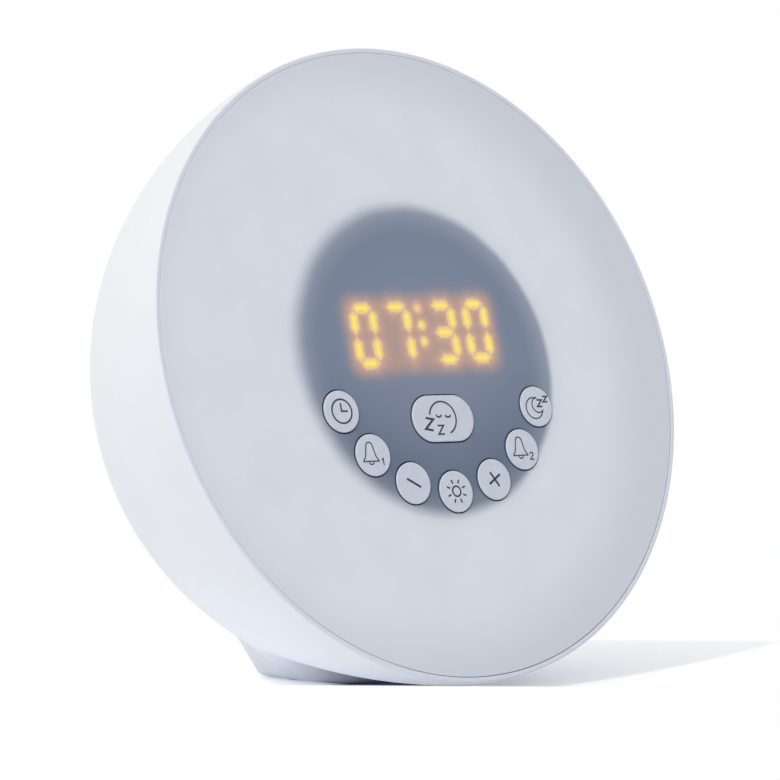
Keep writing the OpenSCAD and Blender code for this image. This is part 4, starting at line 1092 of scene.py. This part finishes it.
# Stage
def add_floor(s):
    """A wide floor. To the camera, and in gloss and glass, it is lit and has some light added, so that it
    keeps the clock's shadow on a white ground; in front of the clock, beyond it and to its left it is plain
    white. It lights the clock as a bluish diffuser with a brighter patch at the left, and a darker, bluer
    painted shade around the bowl. An ellipse under the bowl is a dark painted shadow; it reaches further for
    the light that the clock gets than for the camera."""
    half, soft, far_soft, sent_share = 6.0, 1.5 * MM, 3 * MM, 0.85
    under_out, under_in, near_out, near_in, gap_glow = 1.3, 0.8, 3.4, 1.2, 0.1
    mesh = bpy.data.meshes.new("floor")
    mesh.from_pydata([(-half, -half, 0), (half, -half, 0), (half, half, 0), (-half, half, 0)], [],
                     [(0, 1, 2, 3)])
    finish = material("floor")

    def diffuse(*tone):
        return finish.add("ShaderNodeBsdfDiffuse", None, {"Color": (*tone, 1.0)})[0]

    def glow(strength, tint=(1.0, 1.0, 1.0)):
        return finish.add("ShaderNodeEmission", None, {"Color": (*tint, 1.0), "Strength": strength})[0]

    def both(a, b):
        return finish.add("ShaderNodeAddShader", None, {0: a, 1: b})[0]

    def blend(share, a, b):
        return finish.add("ShaderNodeMixShader", None, {0: share, 1: a, 2: b})[0]

    camera, seen = finish.rays()
    x, y, _ = finish.add("ShaderNodeSeparateXYZ", None, {0: finish.coordinates()})[:3]
    ahead = -unit(np.array([s.camera_x, s.camera_y]))
    along, right = x * ahead[0] + y * ahead[1], x * ahead[1] - y * ahead[0]
    outside = along.step(s.floor_far - far_soft, s.floor_far + far_soft)
    outside = outside.larger(along.step(s.floor_near + soft, s.floor_near - soft))
    outside = outside.larger(right.step(s.floor_left + soft, s.floor_left - soft))
    # Painted shadow: a dark ellipse under the bowl, and around it a darker bluish painted shade in the light sent
    # to the clock.
    spot = hypot((x - s.under_x) / s.under_wide, (y - s.under_y) / s.under_deep)
    under = (spot * (camera * (1.0 - sent_share) + sent_share)).step(under_out, under_in)
    card = hypot(x - s.card_x, y - s.card_y).step(s.card_r, 0.0)
    dark = diffuse(*s.painted_shadow_colour)
    near = both(diffuse(*[s.floor_tone] * 3), glow(s.floor_glow, s.floor_tint))
    gap = both(dark, glow(gap_glow, s.painted_shadow_colour))
    look = blend(outside, blend(under, near, gap), glow(1.0))
    bounce = blend(spot.step(near_out, near_in), diffuse(*s.bounce), diffuse(*s.painted_near_shade))
    sent = blend(under, blend(card, bounce, both(bounce, glow(s.card))), dark)
    finish.add("ShaderNodeOutputMaterial", None, {"Surface": blend(seen, sent, look)})
    mesh.materials.append(finish.owner)
    floor = bpy.data.objects.new("floor", mesh)
    bpy.context.scene.collection.objects.link(floor)


def add_sky(s):
    """Light from all round: one strength at the horizon, one above, and a soft bright region whose strength
    is the square of the cosine from its middle. The camera, and what it sees in gloss and glass, gets plain
    white."""
    world = bpy.data.worlds.new("studio")
    bpy.context.scene.world = world
    sky = Finish(world)
    _, seen = sky.rays()
    way = sky.add("ShaderNodeTexCoord")[0]
    window = tuple(unit(np.array([-0.6, 0.4, 0.7])))
    toward = sky.add("ShaderNodeVectorMath", {"operation": "DOT_PRODUCT"}, {0: way, 1: window})[1]
    toward = toward.larger(0.0)
    rise = abs(sky.add("ShaderNodeSeparateXYZ", None, {0: way})[2])
    even = rise.step(0.0, 0.8) * (s.sky - s.horizon) + toward * toward * s.window + s.horizon
    light = sky.add("ShaderNodeBackground", None, {"Color": (*s.sky_colour, 1.0), "Strength": even})[0]
    white = sky.add("ShaderNodeBackground", None, {"Color": (1.0, 1.0, 1.0, 1.0), "Strength": 1.0})[0]
    shown = sky.add("ShaderNodeMixShader", None, {0: seen, 1: light, 2: white})[0]
    sky.add("ShaderNodeOutputWorld", None, {"Surface": shown})


def add_viewer(name, data, location, backward, roll=0.0):
    """A light or camera at a location that looks against a direction, rolled about it."""
    viewer = bpy.data.objects.new(name, data)
    viewer.location = location
    viewer.rotation_mode = "QUATERNION"
    viewer.rotation_quaternion = backward.to_track_quat("Z", "Y") @ Quaternion((0, 0, 1), roll)
    bpy.context.scene.collection.objects.link(viewer)
    return viewer


def add_sun(s):
    """A soft light from the upper left, which the camera doesn't see itself."""
    light = bpy.data.lights.new("left_light", "SUN")
    light.energy, light.angle, light.color = s.sun, s.sun_size, (1.0, 0.99, 0.97)
    location, aim = Vector((-1.2, -0.38, 1.08)), Vector((0.0, 0.0, 0.08))
    add_viewer("left_light", light, location, location - aim).visible_camera = False


def add_camera(s):
    """The camera, which looks against a direction with a little roll."""
    camera = bpy.data.cameras.new("camera")
    camera.sensor_width, camera.lens, camera.clip_start = 36.0, s.lens, 0.01
    backward = Vector((-0.62828, -0.77723, 0.03444))
    bpy.context.scene.camera = add_viewer("camera", camera, (s.camera_x, s.camera_y, s.camera_z), backward,
                                          s.roll)


class CLOCK_OT_housing(bpy.types.Operator):
    """Adds the bowl and its foot as one moulding"""
    bl_idname = "clock.housing"
    bl_label = "Housing"

    def execute(self, context):
        add_housing(context.scene.clock_housing)
        return {"FINISHED"}


class CLOCK_OT_front_disc(bpy.types.Operator):
    """Adds the frosted disc with its smoked middle and lit digits"""
    bl_idname = "clock.front_disc"
    bl_label = "Front disc"

    def execute(self, context):
        add_front_disc(context.scene.clock_disc)
        return {"FINISHED"}


class CLOCK_OT_keys(bpy.types.Operator):
    """Adds the eight keys and the icons printed on them"""
    bl_idname = "clock.keys"
    bl_label = "Keys"

    def execute(self, context):
        s = context.scene.clock_keys
        plastic, print_ink = key_plastic(s), ink(s)
        for name in KEYS:
            add_key(name, s, plastic)
            add_icon(name, s, print_ink)
        return {"FINISHED"}


class CLOCK_OT_battery_door(bpy.types.Operator):
    """Adds the battery door"""
    bl_idname = "clock.battery_door"
    bl_label = "Battery door"

    def execute(self, context):
        add_door(context.scene.clock_housing)
        return {"FINISHED"}


class CLOCK_OT_pads(bpy.types.Operator):
    """Adds the rubber pads under the foot"""
    bl_idname = "clock.pads"
    bl_label = "Pads"

    def execute(self, context):
        add_pads(moulded("rubber", slot_colour("rubber"), 0.75, 0.5 * MM, 0.03 * MM))
        return {"FINISHED"}


class CLOCK_OT_inner_parts(bpy.types.Operator):
    """Finishes the parts inside, the screws and the power jack, which keep their own surfaces"""
    bl_idname = "clock.inner_parts"
    bl_label = "Inner parts"

    def execute(self, context):
        finishes = {}
        for part in frame["record"]["subparts"]:
            node, slot = part["node"], part["material_slot"]
            if slot not in finishes:
                finishes[slot] = inner_finish(slot)
            mesh = frame["nodes"][node].data
            mesh.materials.clear()
            mesh.materials.append(finishes[slot])
        return {"FINISHED"}


class CLOCK_OT_stage(bpy.types.Operator):
    """Adds the floor, the lights and the camera"""
    bl_idname = "clock.stage"
    bl_label = "Stage"

    def execute(self, context):
        s = context.scene.clock_stage
        add_floor(s)
        add_sky(s)
        add_sun(s)
        add_camera(s)
        context.scene.view_settings.view_transform = "Standard"
        return {"FINISHED"}


class CLOCK_PT_panel(bpy.types.Panel):
    """Buttons for each group of pieces, in the order in which they are made"""
    bl_label = "Sunrise Alarm Clock"
    bl_idname = "CLOCK_PT_panel"
    bl_space_type = "VIEW_3D"
    bl_region_type = "UI"
    bl_category = "Clock"

    def draw(self, context):
        for operator in OPERATORS:
            self.layout.operator(operator.bl_idname)


SETTINGS = {"clock_housing": ClockHousing, "clock_disc": ClockDisc, "clock_keys": ClockKeys,
            "clock_stage": ClockStage}
OPERATORS = [CLOCK_OT_inner_parts, CLOCK_OT_housing, CLOCK_OT_front_disc, CLOCK_OT_keys,
             CLOCK_OT_battery_door, CLOCK_OT_pads, CLOCK_OT_stage]


def register():
    for kind in [*SETTINGS.values(), *OPERATORS, CLOCK_PT_panel]:
        bpy.utils.register_class(kind)
    for name, group in SETTINGS.items():
        setattr(bpy.types.Scene, name, bpy.props.PointerProperty(type=group))


def unregister():
    for name in SETTINGS:
        delattr(bpy.types.Scene, name)
    for kind in [CLOCK_PT_panel, *reversed(OPERATORS), *reversed(SETTINGS.values())]:
        bpy.utils.unregister_class(kind)


def main():
    register()
    bpy.ops.clock.inner_parts()
    bpy.ops.clock.housing()
    bpy.ops.clock.front_disc()
    bpy.ops.clock.keys()
    bpy.ops.clock.battery_door()
    bpy.ops.clock.pads()
    bpy.ops.clock.stage()


if __name__ == "__main__":
    main()
